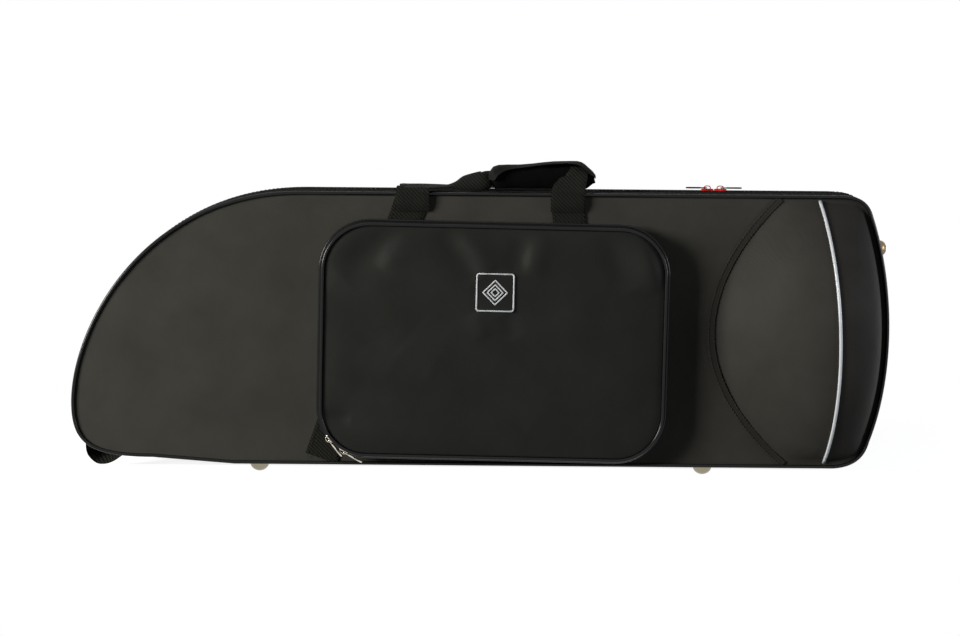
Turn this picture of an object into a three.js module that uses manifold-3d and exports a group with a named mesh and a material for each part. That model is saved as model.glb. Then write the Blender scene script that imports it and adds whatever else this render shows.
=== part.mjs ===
// A shaped soft case for a tenor trombone, standing on its long hinged edge.
// Millimetres, +Z up, +X towards the bell end, the lid faces -Y and the base faces +Y.
import * as THREE from "three";
import { mergeVertices } from "three/addons/utils/BufferGeometryUtils.js";
import Module from "manifold-3d";

const wasm = await Module();
wasm.setup();

// Driving dimensions
const CASE = { length: 960, height: 322, slimDepth: 66, bellDepth: 128 };
const FOOT = { height: 12, radius: 11.5, insetY: 40, endScale: 0.83, sides: 16 };
const GAP = 0.3;
const OVERRUN = 20;
const COVER = {
  thickness: 1.3, rimInset: 1.5, rimWidth: 12, shoulderInset: 1, shoulderDrop: 3, faceInset: 3.2,
};
const CORE = { wall: 13 };
const PADDING = { thickness: 9, rimDrop: 5 };
const PIPING = { radius: 2.1, sides: 6, endRadius: 1.9, faceTurnDegrees: 67 };
const SEAM = { width: 9, thickness: 0.9, steps: 14 };
const WEBBING = { width: 39, thickness: 2 };
const ZIP = { tape: 9, thickness: 0.9, teethWidth: 2.4, teethHeight: 2 };
const SLIDER = { length: 12, width: 10, height: 2.8, bail: 3.4, bailBar: 1.2, bailWidth: 2.2, bailLength: 7 };
const PULL = { width: 6, thickness: 1.2, length: 25, bar: 1.2, window: 5, segments: 5 };
const POCKET = {
  width: 396, height: 267, centreX: 15.3, bottom: 27, corner: 53, tiltDegrees: 0.85,
  depth: 27, wall: 2.2, panel: 2.6, crown: 5, zipWidth: 9, cornerSteps: 5, sliderDegrees: [220, 242],
};
const HANDLE = { width: 39, thickness: 2.4, anchorDrop: 22, rise: 22, reach: 22, rearY: 14 };
const GRIP = {
  length: 125, height: 35, depth: 34, wall: 3.2, left: 8.8, openDegrees: [183, 262],
  sides: 16, roundPower: 0.8,
};
const LOOP = { width: 25, thickness: 2, span: 44, rise: 16, clear: 5 };
const WELL = { length: 150, height: 120, depth: 34, lid: 3.4, lip: 6 };
const SLIDE_SLOT = { length: 700, width: 104, depth: 30 };
const CLIP = {
  length: 48, width: 15, thickness: 3, bore: 2.4, screw: 2, head: 4, headHeight: 1, screwDepth: 14, sides: 10,
};
const BOW = { length: 330, width: 172, depth: 40 };
const BLOCK = { length: 96, width: 44, depth: 30, well: 13, wellDepth: 22, sides: 16 };
const NECK = { length: 26, height: 120, saddle: 17, sides: 20 };
const BADGE = { size: 45, corner: 5, thickness: 1.2, segments: 3 };
const HINGE = { width: 14, thickness: 1.1 };
const BULGE = { rows: 10, seamSteps: 6, endSteps: 5, crossPower: 2.2, roundPower: 0.8, climbPower: 1.25 };

// Places along the case, as shares of its length or height
const straightBottomShare = 0.2;
const rightCornerShare = 0.935;
const toeShare = [0.1, 0.022];
const ridgeShares = [0.9218, 0.9307, 0.91];
const seamVertexShare = 0.7879;
const [seamLowShare, seamHighShare] = [0.8864, 0.872];
const bellMidShare = 0.495;
const endFootShare = 0.804;
const footShares = [0.2285, 0.7767];
const domeShares = [[1, 1], [0.97, 0.62], [0.85, 0.33], [0.6, 0.11], [0.3, 0]];
const strapTopShares = [0.4167, 0.605];
const strapBottomShares = [0.3065, 0.64];
const sliderShares = [0.7813, 0.7975];
const loopShare = 0.0125;
const loopShares = [
  [0, 2.8], [0, 0.95], [0.08, 0.55], [0.3, 0], [0.5, 0], [0.8, 0.3], [1, 0.75], [1.14, 1.2],
];
const bellCavityShare = 0.64;
const wellShare = 0.097;
const slotShare = 0.09;
const slotMidShare = 0.36;
const clipShares = [0.16, 0.62];
const clipAboveShare = 0.7;
const boreShares = [0.27, 0.73];
const badgeShare = 0.722;
const crownShares = [[0.45, 0.55], [0.8, 1]];

const at = (x, y, z) => new THREE.Vector3(x, y, z);
const toX = (share) => (share - 0.5) * CASE.length;
const toZ = (share) => FOOT.height + share * CASE.height;
const bottomZ = toZ(0);
const topZ = toZ(1);
const bellRise = CASE.bellDepth - CASE.slimDepth;
const bellMidZ = toZ(bellMidShare);

// Closed geometry to a solid and back

function solidOf(geometry) {
  const merged = mergeVertices(bareOf(geometry.clone()), 1e-4);
  return new wasm.Manifold(new wasm.Mesh({
    numProp: 3,
    vertProperties: new Float32Array(merged.attributes.position.array),
    triVerts: new Uint32Array(merged.index.array),
  }));
}

function geometryOf(solid) {
  const mesh = solid.getMesh();
  const geometry = new THREE.BufferGeometry();
  geometry.setAttribute("position", new THREE.BufferAttribute(new Float32Array(mesh.vertProperties), 3));
  geometry.setIndex(new THREE.BufferAttribute(new Uint32Array(mesh.triVerts), 1));
  geometry.computeVertexNormals();
  return geometry;
}

function flipped(geometry) {
  const index = geometry.index.array;
  for (let i = 0; i < index.length; i += 3) {
    [index[i + 1], index[i + 2]] = [index[i + 2], index[i + 1]];
  }
  return geometry;
}

function signedVolume(geometry) {
  const places = geometry.attributes.position;
  const index = geometry.index;
  const [a, b, c] = [new THREE.Vector3(), new THREE.Vector3(), new THREE.Vector3()];
  let sum = 0;
  for (let i = 0; i < index.count; i += 3) {
    a.fromBufferAttribute(places, index.getX(i));
    b.fromBufferAttribute(places, index.getX(i + 1));
    c.fromBufferAttribute(places, index.getX(i + 2));
    sum += a.dot(b.cross(c));
  }
  return sum;
}

const outward = (geometry) => (signedVolume(geometry) < 0 ? flipped(geometry) : geometry);

// The same solid on the other side of the parting plane
function mirrored(solid) {
  const geometry = geometryOf(solid);
  geometry.scale(1, -1, 1);
  return solidOf(flipped(geometry));
}

const cut = (solid, ...tools) => tools.reduce((rest, tool) => rest.subtract(tool), solid);
const join = (solid, ...others) => others.reduce((sum, other) => sum.add(other), solid);

// A surface through rings of points, capped at both ends, or closed on itself as a loop
function loft(rings, closed = false) {
  const count = rings[0].length;
  const places = rings.flat().flatMap((p) => [p.x, p.y, p.z]);
  const index = [];
  const last = closed ? rings.length : rings.length - 1;
  for (let k = 0; k < last; k++) {
    const next = (k + 1) % rings.length;
    for (let j = 0; j < count; j++) {
      const beside = (j + 1) % count;
      const [a, b] = [k * count + j, k * count + beside];
      const [c, d] = [next * count + j, next * count + beside];
      index.push(a, b, d, a, d, c);
    }
  }
  if (!closed) {
    const start = (rings.length - 1) * count;
    for (let j = 1; j < count - 1; j++) {
      index.push(0, j + 1, j, start, start + j, start + j + 1);
    }
  }
  const geometry = new THREE.BufferGeometry();
  geometry.setAttribute("position", new THREE.Float32BufferAttribute(places, 3));
  geometry.setIndex(index);
  return solidOf(outward(geometry));
}

function box(x0, x1, y0, y1, z0, z1) {
  const geometry = new THREE.BoxGeometry(x1 - x0, y1 - y0, z1 - z0);
  geometry.translate((x0 + x1) / 2, (y0 + y1) / 2, (z0 + z1) / 2);
  return solidOf(geometry);
}

// A flat shape drawn in X and Z, from depth y0 back to y1
function plate(shape, y0, y1, curveSegments = 6) {
  const geometry = new THREE.ExtrudeGeometry(shape, { depth: y1 - y0, bevelEnabled: false, curveSegments });
  geometry.rotateX(Math.PI / 2);
  geometry.translate(0, y1, 0);
  return solidOf(geometry);
}

// A turned piece about the Y axis: profile in radius and height
function turned(profile, sides) {
  const points = profile.map(([radius, height]) => new THREE.Vector2(radius, height));
  return outward(mergeVertices(bareOf(new THREE.LatheGeometry(points, sides)), 1e-4));
}

function bareOf(geometry) {
  geometry.deleteAttribute("normal");
  geometry.deleteAttribute("uv");
  return geometry;
}

function tube(points, radius, sides, steps) {
  const section = new THREE.Shape();
  for (let i = 0; i < sides; i++) {
    const turn = (i / sides) * 2 * Math.PI;
    const corner = [radius * Math.cos(turn), radius * Math.sin(turn)];
    if (i === 0) section.moveTo(...corner);
    else section.lineTo(...corner);
  }
  section.closePath();
  const path = new THREE.CatmullRomCurve3(points);
  return solidOf(new THREE.ExtrudeGeometry(section, { steps, bevelEnabled: false, extrudePath: path }));
}

// A strip of webbing through stations: each has its place, the direction across the strip,
// and the share of the width left where it is folded
function ribbon(stations, width, thickness) {
  const rings = stations.map(([place, across, widthShare = 1], i) => {
    const [before] = stations[Math.max(i - 1, 0)];
    const [after] = stations[Math.min(i + 1, stations.length - 1)];
    const along = after.clone().sub(before).normalize();
    const side = across.clone().addScaledVector(along, -across.dot(along)).normalize();
    const up = along.clone().cross(side);
    const corner = (s, u) => place.clone()
      .addScaledVector(side, (s * width * widthShare) / 2)
      .addScaledVector(up, (u * thickness) / 2);
    return [corner(-1, -1), corner(1, -1), corner(1, 1), corner(-1, 1)];
  });
  return loft(rings);
}

// The outline of the shell in X and Z: straight hinge edge, toe, long shoulder curve, bowed bell end

function shellOutline() {
  const spot = ([x, z]) => new THREE.Vector2(toX(x), toZ(z));
  const curve = (...shares) => new THREE.CubicBezierCurve(...shares.map(spot));
  const line = (...shares) => new THREE.LineCurve(...shares.map(spot));
  const upperRightShare = [0.977, 0.925];
  const lowerRightShare = [0.9785, 0.1];
  const shoulderShare = [0.28, 1];
  const topRightShare = [0.94, 1];
  const runs = [
    [line([straightBottomShare, 0], [rightCornerShare, 0]), 1],
    [curve([rightCornerShare, 0], [0.962, 0.006], [0.974, 0.045], lowerRightShare), 4],
    [curve(lowerRightShare, [1.0074, 0.33], [1.0074, 0.66], upperRightShare), 7],
    [curve(upperRightShare, [0.9725, 0.975], [0.96, 1], topRightShare), 4],
    [line(topRightShare, shoulderShare), 1],
    [curve(shoulderShare, [0.09, 1], [0, 0.5], [0, 0.22]), 13],
    [curve([0, 0.22], [0, 0.06], [0.025, 0.022], toeShare), 6],
    [line(toeShare, [straightBottomShare, 0]), 1],
  ];
  const points = [];
  for (const [run, steps] of runs) {
    for (let i = 0; i < steps; i++) points.push(run.getPoint(i / steps));
  }
  return points;
}

const outline = shellOutline();
const edgeNormals = outline.map((p, i) => {
  const along = outline[(i + 1) % outline.length].clone().sub(p).normalize();
  return new THREE.Vector2(along.y, -along.x);
});
const mitres = outline.map((p, i) => {
  const before = edgeNormals[(i + outline.length - 1) % outline.length];
  const sum = before.clone().add(edgeNormals[i]);
  return sum.divideScalar(1 + before.dot(edgeNormals[i]));
});

const inset = (distance) => outline.map((p, i) => p.clone().addScaledVector(mitres[i], -distance));
const ringAt = ([distance, y]) => inset(distance).map((p) => new THREE.Vector3(p.x, y, p.y));

// The right end of the outline at a height
function endX(z, distance) {
  const ring = inset(distance);
  let most = 0;
  ring.forEach((p, i) => {
    const q = ring[(i + 1) % ring.length];
    if ((p.y - z) * (q.y - z) > 0 || p.y === q.y) return;
    most = Math.max(most, p.x + ((q.x - p.x) * (z - p.y)) / (q.y - p.y));
  });
  return most;
}

// The curved seam where the bell bulge starts, as X at a height
function seamX(z) {
  const off = (z - bellMidZ) / (CASE.height / 2);
  const endShare = off < 0 ? seamLowShare : seamHighShare;
  return toX(seamVertexShare + (endShare - seamVertexShare) * off ** 2);
}

// The bowed ridge between bulge and end panel, as X at a height
function ridgeX(z) {
  const [low, mid, high] = ridgeShares;
  const off = (z - bottomZ) / (CASE.height / 2) - 1;
  return toX(mid + ((high - low) / 2) * off + ((high + low) / 2 - mid) * off ** 2);
}

// One row of the bulge: its height up the case and its share of the full rise
function bulgeRow(row, wall) {
  const border = COVER.faceInset + wall + 3 * PIPING.radius;
  const [low, high] = [bottomZ + border, topZ - border];
  const v = -Math.cos((row / BULGE.rows) * Math.PI);
  const lift = (1 - Math.abs(v) ** BULGE.crossPower) ** BULGE.roundPower;
  return { z: (low + high) / 2 + (v * (high - low)) / 2, lift };
}

// The bell bulge over the slim face, shrunk by a wall thickness
function bulge(wall) {
  const face = -(CASE.slimDepth - wall) + GAP;
  const { rows, seamSteps, endSteps } = BULGE;
  const border = COVER.faceInset + wall + 3 * PIPING.radius;
  const top = [];
  for (let r = 0; r <= rows; r++) {
    const { z, lift } = bulgeRow(r, wall);
    const height = bellRise * lift + GAP * Math.sign(lift);
    const [start, ridge, end] = [seamX(z) + wall, ridgeX(z), endX(z, border)];
    const row = [];
    for (let c = 0; c <= seamSteps; c++) {
      const u = c / seamSteps;
      const climb = Math.sin((u * Math.PI) / 2) ** BULGE.climbPower;
      row.push(new THREE.Vector3(start + (ridge - start) * u, face - height * climb, z));
    }
    for (let c = 1; c <= endSteps; c++) {
      const w = Math.sin((c / endSteps) * (Math.PI / 2));
      row.push(new THREE.Vector3(ridge + (end - ridge) * w, face - height * Math.sqrt(1 - w ** 2), z));
    }
    top.push(row);
  }
  const backed = face + CASE.slimDepth / 3;
  const columns = seamSteps + endSteps;
  const places = [];
  top.flat().forEach((p) => places.push(p.x, p.y, p.z));
  top.flat().forEach((p) => places.push(p.x, backed, p.z));
  const back = (rows + 1) * (columns + 1);
  const spot = (r, c) => r * (columns + 1) + c;
  const index = [];
  const quad = (a, b, c, d) => index.push(a, b, c, a, c, d);
  for (let r = 0; r < rows; r++) {
    for (let c = 0; c < columns; c++) {
      quad(spot(r, c), spot(r, c + 1), spot(r + 1, c + 1), spot(r + 1, c));
      quad(back + spot(r, c), back + spot(r + 1, c), back + spot(r + 1, c + 1), back + spot(r, c + 1));
    }
    quad(spot(r, 0), spot(r + 1, 0), back + spot(r + 1, 0), back + spot(r, 0));
    quad(spot(r, columns), back + spot(r, columns), back + spot(r + 1, columns), spot(r + 1, columns));
  }
  for (let c = 0; c < columns; c++) {
    quad(spot(0, c), back + spot(0, c), back + spot(0, c + 1), spot(0, c + 1));
    quad(spot(rows, c), spot(rows, c + 1), back + spot(rows, c + 1), back + spot(rows, c));
  }
  const geometry = new THREE.BufferGeometry();
  geometry.setAttribute("position", new THREE.Float32BufferAttribute(places, 3));
  geometry.setIndex(index);
  return solidOf(outward(geometry));
}

// The lid half of the shell, shrunk by a wall thickness, from its open side at the parting plane
function half(wall, openAt) {
  const { rimInset, rimWidth, shoulderInset, shoulderDrop, faceInset } = COVER;
  const face = CASE.slimDepth - wall;
  const rings = [
    [rimInset + wall, openAt],
    [wall, -rimWidth],
    [wall, -(face - shoulderDrop * 2)],
    [shoulderInset + wall, -(face - shoulderDrop / 2)],
    [faceInset + wall, -face],
  ];
  return join(loft(rings.map(ringAt)), bulge(wall));
}

// Shells, covers and inserts

const coverInside = half(COVER.thickness, OVERRUN);
const coreOutside = COVER.thickness + GAP;
const coreInside = coreOutside + CORE.wall;
const padOutside = coreInside + GAP;
const padInside = padOutside + PADDING.thickness;
const skin = cut(half(0, -GAP), coverInside);

// Everything on one side of the ridge line, from that line out to the X given
function besideRidge(shift, farX) {
  const line = [];
  for (let row = -1; row <= BULGE.rows + 1; row++) {
    const z = toZ(row / BULGE.rows);
    line.push(new THREE.Vector2(ridgeX(z) + shift, z));
  }
  const [low, high] = [line[0], line[line.length - 1]];
  const far = [new THREE.Vector2(farX, high.y), new THREE.Vector2(farX, low.y)];
  return plate(new THREE.Shape([...line, ...far]), -CASE.length, CASE.length);
}

const nylonSkin = skin.intersect(besideRidge(GAP, -CASE.length));
const endSkin = skin.intersect(besideRidge(2 * GAP, CASE.length));
const coreSolid = cut(half(coreOutside, -GAP), half(coreInside, OVERRUN));

// The open space for the bell flare at the end of a padded insert
function bellSpace() {
  const start = toX(bellCavityShare);
  return half(padInside, OVERRUN).intersect(box(start, CASE.length, -CASE.length, OVERRUN, 0, CASE.length));
}

const padSolid = half(padOutside, -PADDING.rimDrop);
const slotMidZ = toZ(slotMidShare);
const slotX0 = toX(slotShare);
const slideSlot = box(slotX0, slotX0 + SLIDE_SLOT.length, -(PADDING.rimDrop + SLIDE_SLOT.depth), OVERRUN,
  slotMidZ - SLIDE_SLOT.width / 2, slotMidZ + SLIDE_SLOT.width / 2);
const lidInsert = cut(padSolid, bellSpace(), slideSlot);

const wellX0 = toX(wellShare);
const wellZ0 = bottomZ + padInside + 3 * WELL.lip;
const bowX1 = toX(bellCavityShare) + OVERRUN;
const bowX0 = bowX1 - BOW.length;
const bowZ0 = bellMidZ - BOW.width / 2;
const accessoryWell = box(wellX0, wellX0 + WELL.length, PADDING.rimDrop - OVERRUN,
  PADDING.rimDrop + WELL.depth, wellZ0, wellZ0 + WELL.height);
const wellRebate = box(wellX0 - WELL.lip, wellX0 + WELL.length + WELL.lip, PADDING.rimDrop - OVERRUN,
  PADDING.rimDrop + WELL.lid + GAP, wellZ0 - WELL.lip, wellZ0 + WELL.height + WELL.lip);
const bowSpace = box(bowX0, bowX1, PADDING.rimDrop - OVERRUN, PADDING.rimDrop + BOW.depth,
  bowZ0, bowZ0 + BOW.width);
const blockX0 = bowX0 + WELL.lip;
const blockZ1 = topZ - padInside;
const blockSpace = box(blockX0 - GAP, blockX0 + BLOCK.length + GAP, PADDING.rimDrop - OVERRUN,
  PADDING.rimDrop + BLOCK.depth + GAP, blockZ1 - BLOCK.width - GAP, blockZ1 + GAP);
const baseInsert = cut(mirrored(cut(padSolid, bellSpace())), accessoryWell, wellRebate, bowSpace, blockSpace);

// Edge trims that follow the outline

// A closed loop round the outline: a round section at a distance in from the edge
function edgePiping(distance, y) {
  const rings = [];
  for (let k = 0; k < PIPING.sides; k++) {
    const turn = ((k + 0.5) / PIPING.sides) * 2 * Math.PI;
    rings.push([distance - PIPING.radius * Math.cos(turn), y - PIPING.radius * Math.sin(turn)]);
  }
  return loft(rings.map(ringAt), true);
}

const pipingTurn = THREE.MathUtils.degToRad(PIPING.faceTurnDegrees);
const pipingSeat = PIPING.radius + GAP;
const pipingInset = COVER.faceInset - pipingSeat * Math.cos(pipingTurn);
const piping = edgePiping(pipingInset, -CASE.slimDepth - pipingSeat * Math.sin(pipingTurn));

// An open run of the outline between two point numbers, with a closed profile of inset and depth
function edgeRun(profile, from, to) {
  const rings = profile.map(ringAt);
  const stations = [];
  for (let i = from; i <= to; i++) {
    const j = (i + outline.length) % outline.length;
    stations.push(rings.map((ring) => ring[j]));
  }
  return loft(stations);
}

const zipStart = 4;
const zipEnd = outline.length - 4;
const zipProfile = [
  [COVER.rimInset - GAP - ZIP.teethHeight, -GAP],
  [COVER.rimInset - GAP - ZIP.teethHeight, -ZIP.teethWidth],
  [COVER.rimInset - GAP - ZIP.thickness, -ZIP.teethWidth],
  [-GAP - ZIP.thickness, -ZIP.tape],
  [-GAP, -ZIP.tape],
  [COVER.rimInset - GAP, -GAP],
];
const zipTape = edgeRun(zipProfile, zipStart, zipEnd);
const hingeTape = box(toX(straightBottomShare), toX(rightCornerShare), -HINGE.width, -GAP,
  bottomZ - GAP - HINGE.thickness, bottomZ - GAP);

// The flat band over the curved seam
function seamBand() {
  const border = COVER.faceInset + 2 * PIPING.radius + GAP;
  const shape = new THREE.Shape();
  const edge = (shift) => {
    const points = [];
    for (let i = 0; i <= SEAM.steps; i++) {
      const z = bottomZ + border + ((CASE.height - 2 * border) * i) / SEAM.steps;
      points.push(new THREE.Vector2(seamX(z) - GAP * 2 - shift, z));
    }
    return points;
  };
  shape.setFromPoints([...edge(0), ...edge(SEAM.width).reverse()]);
  shape.closePath();
  const front = -(CASE.slimDepth + GAP + SEAM.thickness);
  return plate(shape, front, front + SEAM.thickness);
}

// The contrasting piping over the ridge between bulge and end panel, a radius clear of the cover
function ridgePiping() {
  const clear = PIPING.endRadius + GAP;
  const rows = [...Array(BULGE.rows + 1).keys()].map((r) => bulgeRow(r, 0));
  const ridge = rows.map(({ z, lift }) => new THREE.Vector2(z, CASE.slimDepth + bellRise * lift));
  const last = ridge.length - 1;
  const slope = ridge[1].clone().sub(ridge[0]).angle();
  const foot = clear * Math.tan(slope / 2);
  const points = ridge.map((p, r) => {
    const x = ridgeX(p.x);
    if (r === 0) return new THREE.Vector3(x, -p.y - clear, p.x - foot);
    if (r === last) return new THREE.Vector3(x, -p.y - clear, p.x + foot);
    const along = ridge[r + 1].clone().sub(ridge[r - 1]).normalize();
    return new THREE.Vector3(x, -p.y - along.x * clear, p.x - along.y * clear);
  });
  return tube(points, PIPING.endRadius, PIPING.sides, 2 * BULGE.rows);
}

// Straps sewn to the faces, splayed downwards, passing under the pocket

function faceStrap(topShare, bottomShare, grow = 0) {
  const border = COVER.faceInset + 2 * PIPING.radius;
  const [z0, z1] = [bottomZ + border, topZ - border];
  const halfWidth = WEBBING.width / 2 + grow;
  const [x0, x1] = [toX(bottomShare), toX(topShare)];
  const shape = new THREE.Shape();
  shape.moveTo(x0 - halfWidth, z0 - grow);
  shape.lineTo(x0 + halfWidth, z0 - grow);
  shape.lineTo(x1 + halfWidth, z1 + grow);
  shape.lineTo(x1 - halfWidth, z1 + grow);
  shape.closePath();
  const back = -(CASE.slimDepth + GAP);
  return plate(shape, back - WEBBING.thickness - grow, back + grow);
}

// Feet

// A domed stud, tip at the bottom, as a profile in radius and height
function domed(radius, height, top) {
  const dome = domeShares.map(([r, h]) => [radius * r, height * h]).filter(([, h]) => h < top);
  return [[0, top], [radius, top], ...dome, [0, 0]];
}

function foot(x, y) {
  const geometry = turned(domed(FOOT.radius, FOOT.height, FOOT.height - GAP), FOOT.sides);
  geometry.rotateX(Math.PI / 2);
  geometry.translate(x, y, 0);
  return solidOf(geometry);
}

function endFoot(y) {
  const z = toZ(endFootShare);
  const [radius, height] = [FOOT.radius * FOOT.endScale, FOOT.height * FOOT.endScale];
  const geometry = turned(domed(radius, height, 2 * height), FOOT.sides);
  geometry.rotateZ(Math.PI / 2);
  geometry.translate(endX(z, 0) + height, y, z);
  return cut(solidOf(geometry), half(-GAP, OVERRUN));
}

// The front pocket

const pocketX0 = POCKET.centreX - POCKET.width / 2;
const pocketX1 = pocketX0 + POCKET.width;
const pocketZ1 = POCKET.bottom + POCKET.height;
const pocketBack = -(CASE.slimDepth + GAP);
const pocketRim = pocketBack - POCKET.depth;

function roundedRect(distance) {
  const [x0, x1] = [pocketX0 + distance, pocketX1 - distance];
  const [z0, z1] = [POCKET.bottom + distance, pocketZ1 - distance];
  const radius = POCKET.corner - distance;
  const shape = new THREE.Shape();
  shape.moveTo(x0 + radius, z0);
  shape.lineTo(x1 - radius, z0);
  shape.absarc(x1 - radius, z0 + radius, radius, -Math.PI / 2, 0);
  shape.lineTo(x1, z1 - radius);
  shape.absarc(x1 - radius, z1 - radius, radius, 0, Math.PI / 2);
  shape.lineTo(x0 + radius, z1);
  shape.absarc(x0 + radius, z1 - radius, radius, Math.PI / 2, Math.PI);
  shape.lineTo(x0, z0 + radius);
  shape.absarc(x0 + radius, z0 + radius, radius, Math.PI, Math.PI * 1.5);
  return shape;
}

// The same rounded rectangle as a ring of points at one depth
function rectRing(distance, y) {
  const radius = POCKET.corner - distance;
  const steps = POCKET.cornerSteps;
  const [midX, midZ] = [(pocketX0 + pocketX1) / 2, (POCKET.bottom + pocketZ1) / 2];
  const ring = [];
  for (const [sideX, sideZ, quarter] of [[1, -1, 3], [1, 1, 0], [-1, 1, 1], [-1, -1, 2]]) {
    const centreX = midX + sideX * (POCKET.width / 2 - POCKET.corner);
    const centreZ = midZ + sideZ * (POCKET.height / 2 - POCKET.corner);
    for (let i = 0; i <= steps; i++) {
      const turn = ((quarter + i / steps) * Math.PI) / 2;
      ring.push(new THREE.Vector3(centreX + radius * Math.cos(turn), y, centreZ + radius * Math.sin(turn)));
    }
  }
  return ring;
}

// The pocket sits slightly askew on the lid, turned about its middle
const pocketMiddle = at(POCKET.centreX, 0, POCKET.bottom + POCKET.height / 2);
const pocketTurn = THREE.MathUtils.degToRad(POCKET.tiltDegrees);
const askew = new THREE.Matrix4().makeTranslation(pocketMiddle)
  .multiply(new THREE.Matrix4().makeRotationY(pocketTurn))
  .multiply(new THREE.Matrix4().makeTranslation(pocketMiddle.clone().negate()));
const setAskew = (solid) => solidOf(geometryOf(solid).applyMatrix4(askew));

const strapTools = strapTopShares.map((share, i) => faceStrap(share, strapBottomShares[i], GAP));
const pocketRing = cut(
  plate(roundedRect(0), pocketRim, pocketBack),
  plate(roundedRect(POCKET.wall), pocketRim - OVERRUN, pocketBack + OVERRUN),
);
const pocketGusset = cut(setAskew(pocketRing), ...strapTools);
const panelBack = pocketRim - GAP;
const panelFront = panelBack - POCKET.panel;
const pocketPanel = loft([
  rectRing(POCKET.wall / 2, panelBack),
  rectRing(POCKET.wall / 2, panelFront),
  ...crownShares.map(([inward, high]) => rectRing(POCKET.corner * inward, panelFront - POCKET.crown * high)),
]);

function pocketPiping() {
  const rings = [];
  const radius = PIPING.radius;
  const middle = POCKET.wall / 2 - radius - GAP;
  for (let k = 0; k < PIPING.sides; k++) {
    const turn = ((k + 0.5) / PIPING.sides) * 2 * Math.PI;
    rings.push(rectRing(middle - radius * Math.cos(turn), panelFront + radius * Math.sin(turn)));
  }
  return loft(rings, true);
}

// The zip round the pocket's side wall, open along the bottom where the panel hinges
function pocketZip() {
  const outer = pocketRim + GAP;
  const thick = ZIP.thickness;
  const ring = cut(
    plate(roundedRect(-GAP - thick), outer, outer + POCKET.zipWidth),
    plate(roundedRect(-GAP), outer - OVERRUN, outer + POCKET.zipWidth + OVERRUN),
  );
  const gapX = pocketX0 + POCKET.corner;
  return cut(ring, box(gapX, pocketX1 - POCKET.corner, outer - OVERRUN, outer + CASE.slimDepth,
    POCKET.bottom - OVERRUN, POCKET.bottom + OVERRUN));
}

// Handles: webbing loops that rest folded over the top edge

const sewnY = -(CASE.slimDepth + WEBBING.thickness + HANDLE.thickness / 2 + 2 * GAP);
const sewnZ = topZ - HANDLE.anchorDrop;
const anchorY = -(CASE.slimDepth + 2 * PIPING.radius + HANDLE.thickness + GAP);
const [strapLeftX, strapRightX] = strapTopShares.map(toX);
const gripX1 = GRIP.left + GRIP.length;
const gripY = -(CASE.slimDepth - HANDLE.reach);
const gripZ = topZ + GAP + GRIP.height / 2;

// The front loop: flat over the top edge, through the grip, and down out of its open side
function frontHandle() {
  const { rise, width } = HANDLE;
  const foldShare = 0.5;
  return ribbon([
    [at(strapLeftX, sewnY, sewnZ), at(1, 0, 0), 1],
    [at(strapLeftX, anchorY, sewnZ + width * 0.2), at(1, 0, 0), 1],
    [at(strapLeftX, anchorY, topZ - rise * 0.15), at(1, 0, 0), 1],
    [at(strapLeftX + width * 0.02, anchorY, topZ + rise * 0.2), at(1, 0, 0), 1],
    [at(strapLeftX + width * 0.2, gripY - rise * 0.75, topZ + rise * 0.24), at(0.85, -0.5, 0), 0.9],
    [at(strapLeftX + width * 0.85, gripY, topZ + rise * 0.24), at(0.1, -1, 0), 0.85],
    [at(GRIP.left - width, gripY, topZ + rise * 0.42), at(0.1, -1, -0.2), 0.75],
    [at(GRIP.left - width * 0.25, gripY, gripZ - rise * 0.15), at(0, -0.5, -0.9), foldShare],
    [at(GRIP.left + width * 0.4, gripY, gripZ), at(0, -0.3, -1), foldShare],
    [at(gripX1 - width * 0.75, gripY, gripZ), at(0, -0.3, -1), foldShare],
    [at(gripX1 - width * 0.42, gripY - rise * 0.1, gripZ - rise * 0.1), at(-0.7, -0.2, -0.7), foldShare],
    [at(strapRightX + width * 0.12, gripY - rise * 0.62, gripZ - rise * 0.5), at(-1, 0, 0), 0.62],
    [at(strapRightX + width * 0.02, anchorY - rise * 0.05, topZ + rise * 0.25), at(-1, 0, 0), 0.85],
    [at(strapRightX, anchorY, topZ - rise * 0.2), at(-1, 0, 0), 1],
    [at(strapRightX, anchorY, sewnZ + width * 0.2), at(-1, 0, 0), 1],
    [at(strapRightX, sewnY, sewnZ), at(-1, 0, 0), 1],
  ], width, HANDLE.thickness);
}

// The rear loop lies folded forward, flat on the top behind the grip
function rearHandle() {
  const { rise, width, rearY } = HANDLE;
  const foldShare = 0.6;
  const flatZ = topZ + rise * 0.14;
  const leg = (x, side) => [
    [at(x, -sewnY, sewnZ), at(side, 0, 0), 1],
    [at(x, -anchorY, sewnZ + width * 0.2), at(side, 0, 0), 1],
    [at(x, -anchorY, topZ - rise * 0.1), at(side, 0, 0), 1],
    [at(x, -anchorY - rise * 0.1, flatZ), at(side, 0, 0), 1],
    [at(x + side * width * 0.1, -anchorY - rise * 0.75, flatZ), at(side, 0.25, 0), 0.9],
    [at(x + side * width * 0.5, rearY + rise, flatZ), at(side, 0.8, 0), 0.75],
  ];
  const run = [strapLeftX + width * 1.4, strapRightX - width * 1.4].map(
    (x) => [at(x, rearY, flatZ), at(0, 1, 0), foldShare],
  );
  return ribbon([...leg(strapLeftX, 1), ...run, ...leg(strapRightX, -1).reverse()], width, HANDLE.thickness);
}

// A bar along X with a section drawn in Y and Z
function bar(shape, x0, x1) {
  const geometry = new THREE.ExtrudeGeometry(shape, { depth: x1 - x0, bevelEnabled: false });
  const turn = new THREE.Matrix4().makeBasis(at(0, 1, 0), at(0, 0, 1), at(1, 0, 0));
  geometry.applyMatrix4(turn);
  geometry.translate(x0, 0, 0);
  return solidOf(geometry);
}

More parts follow.
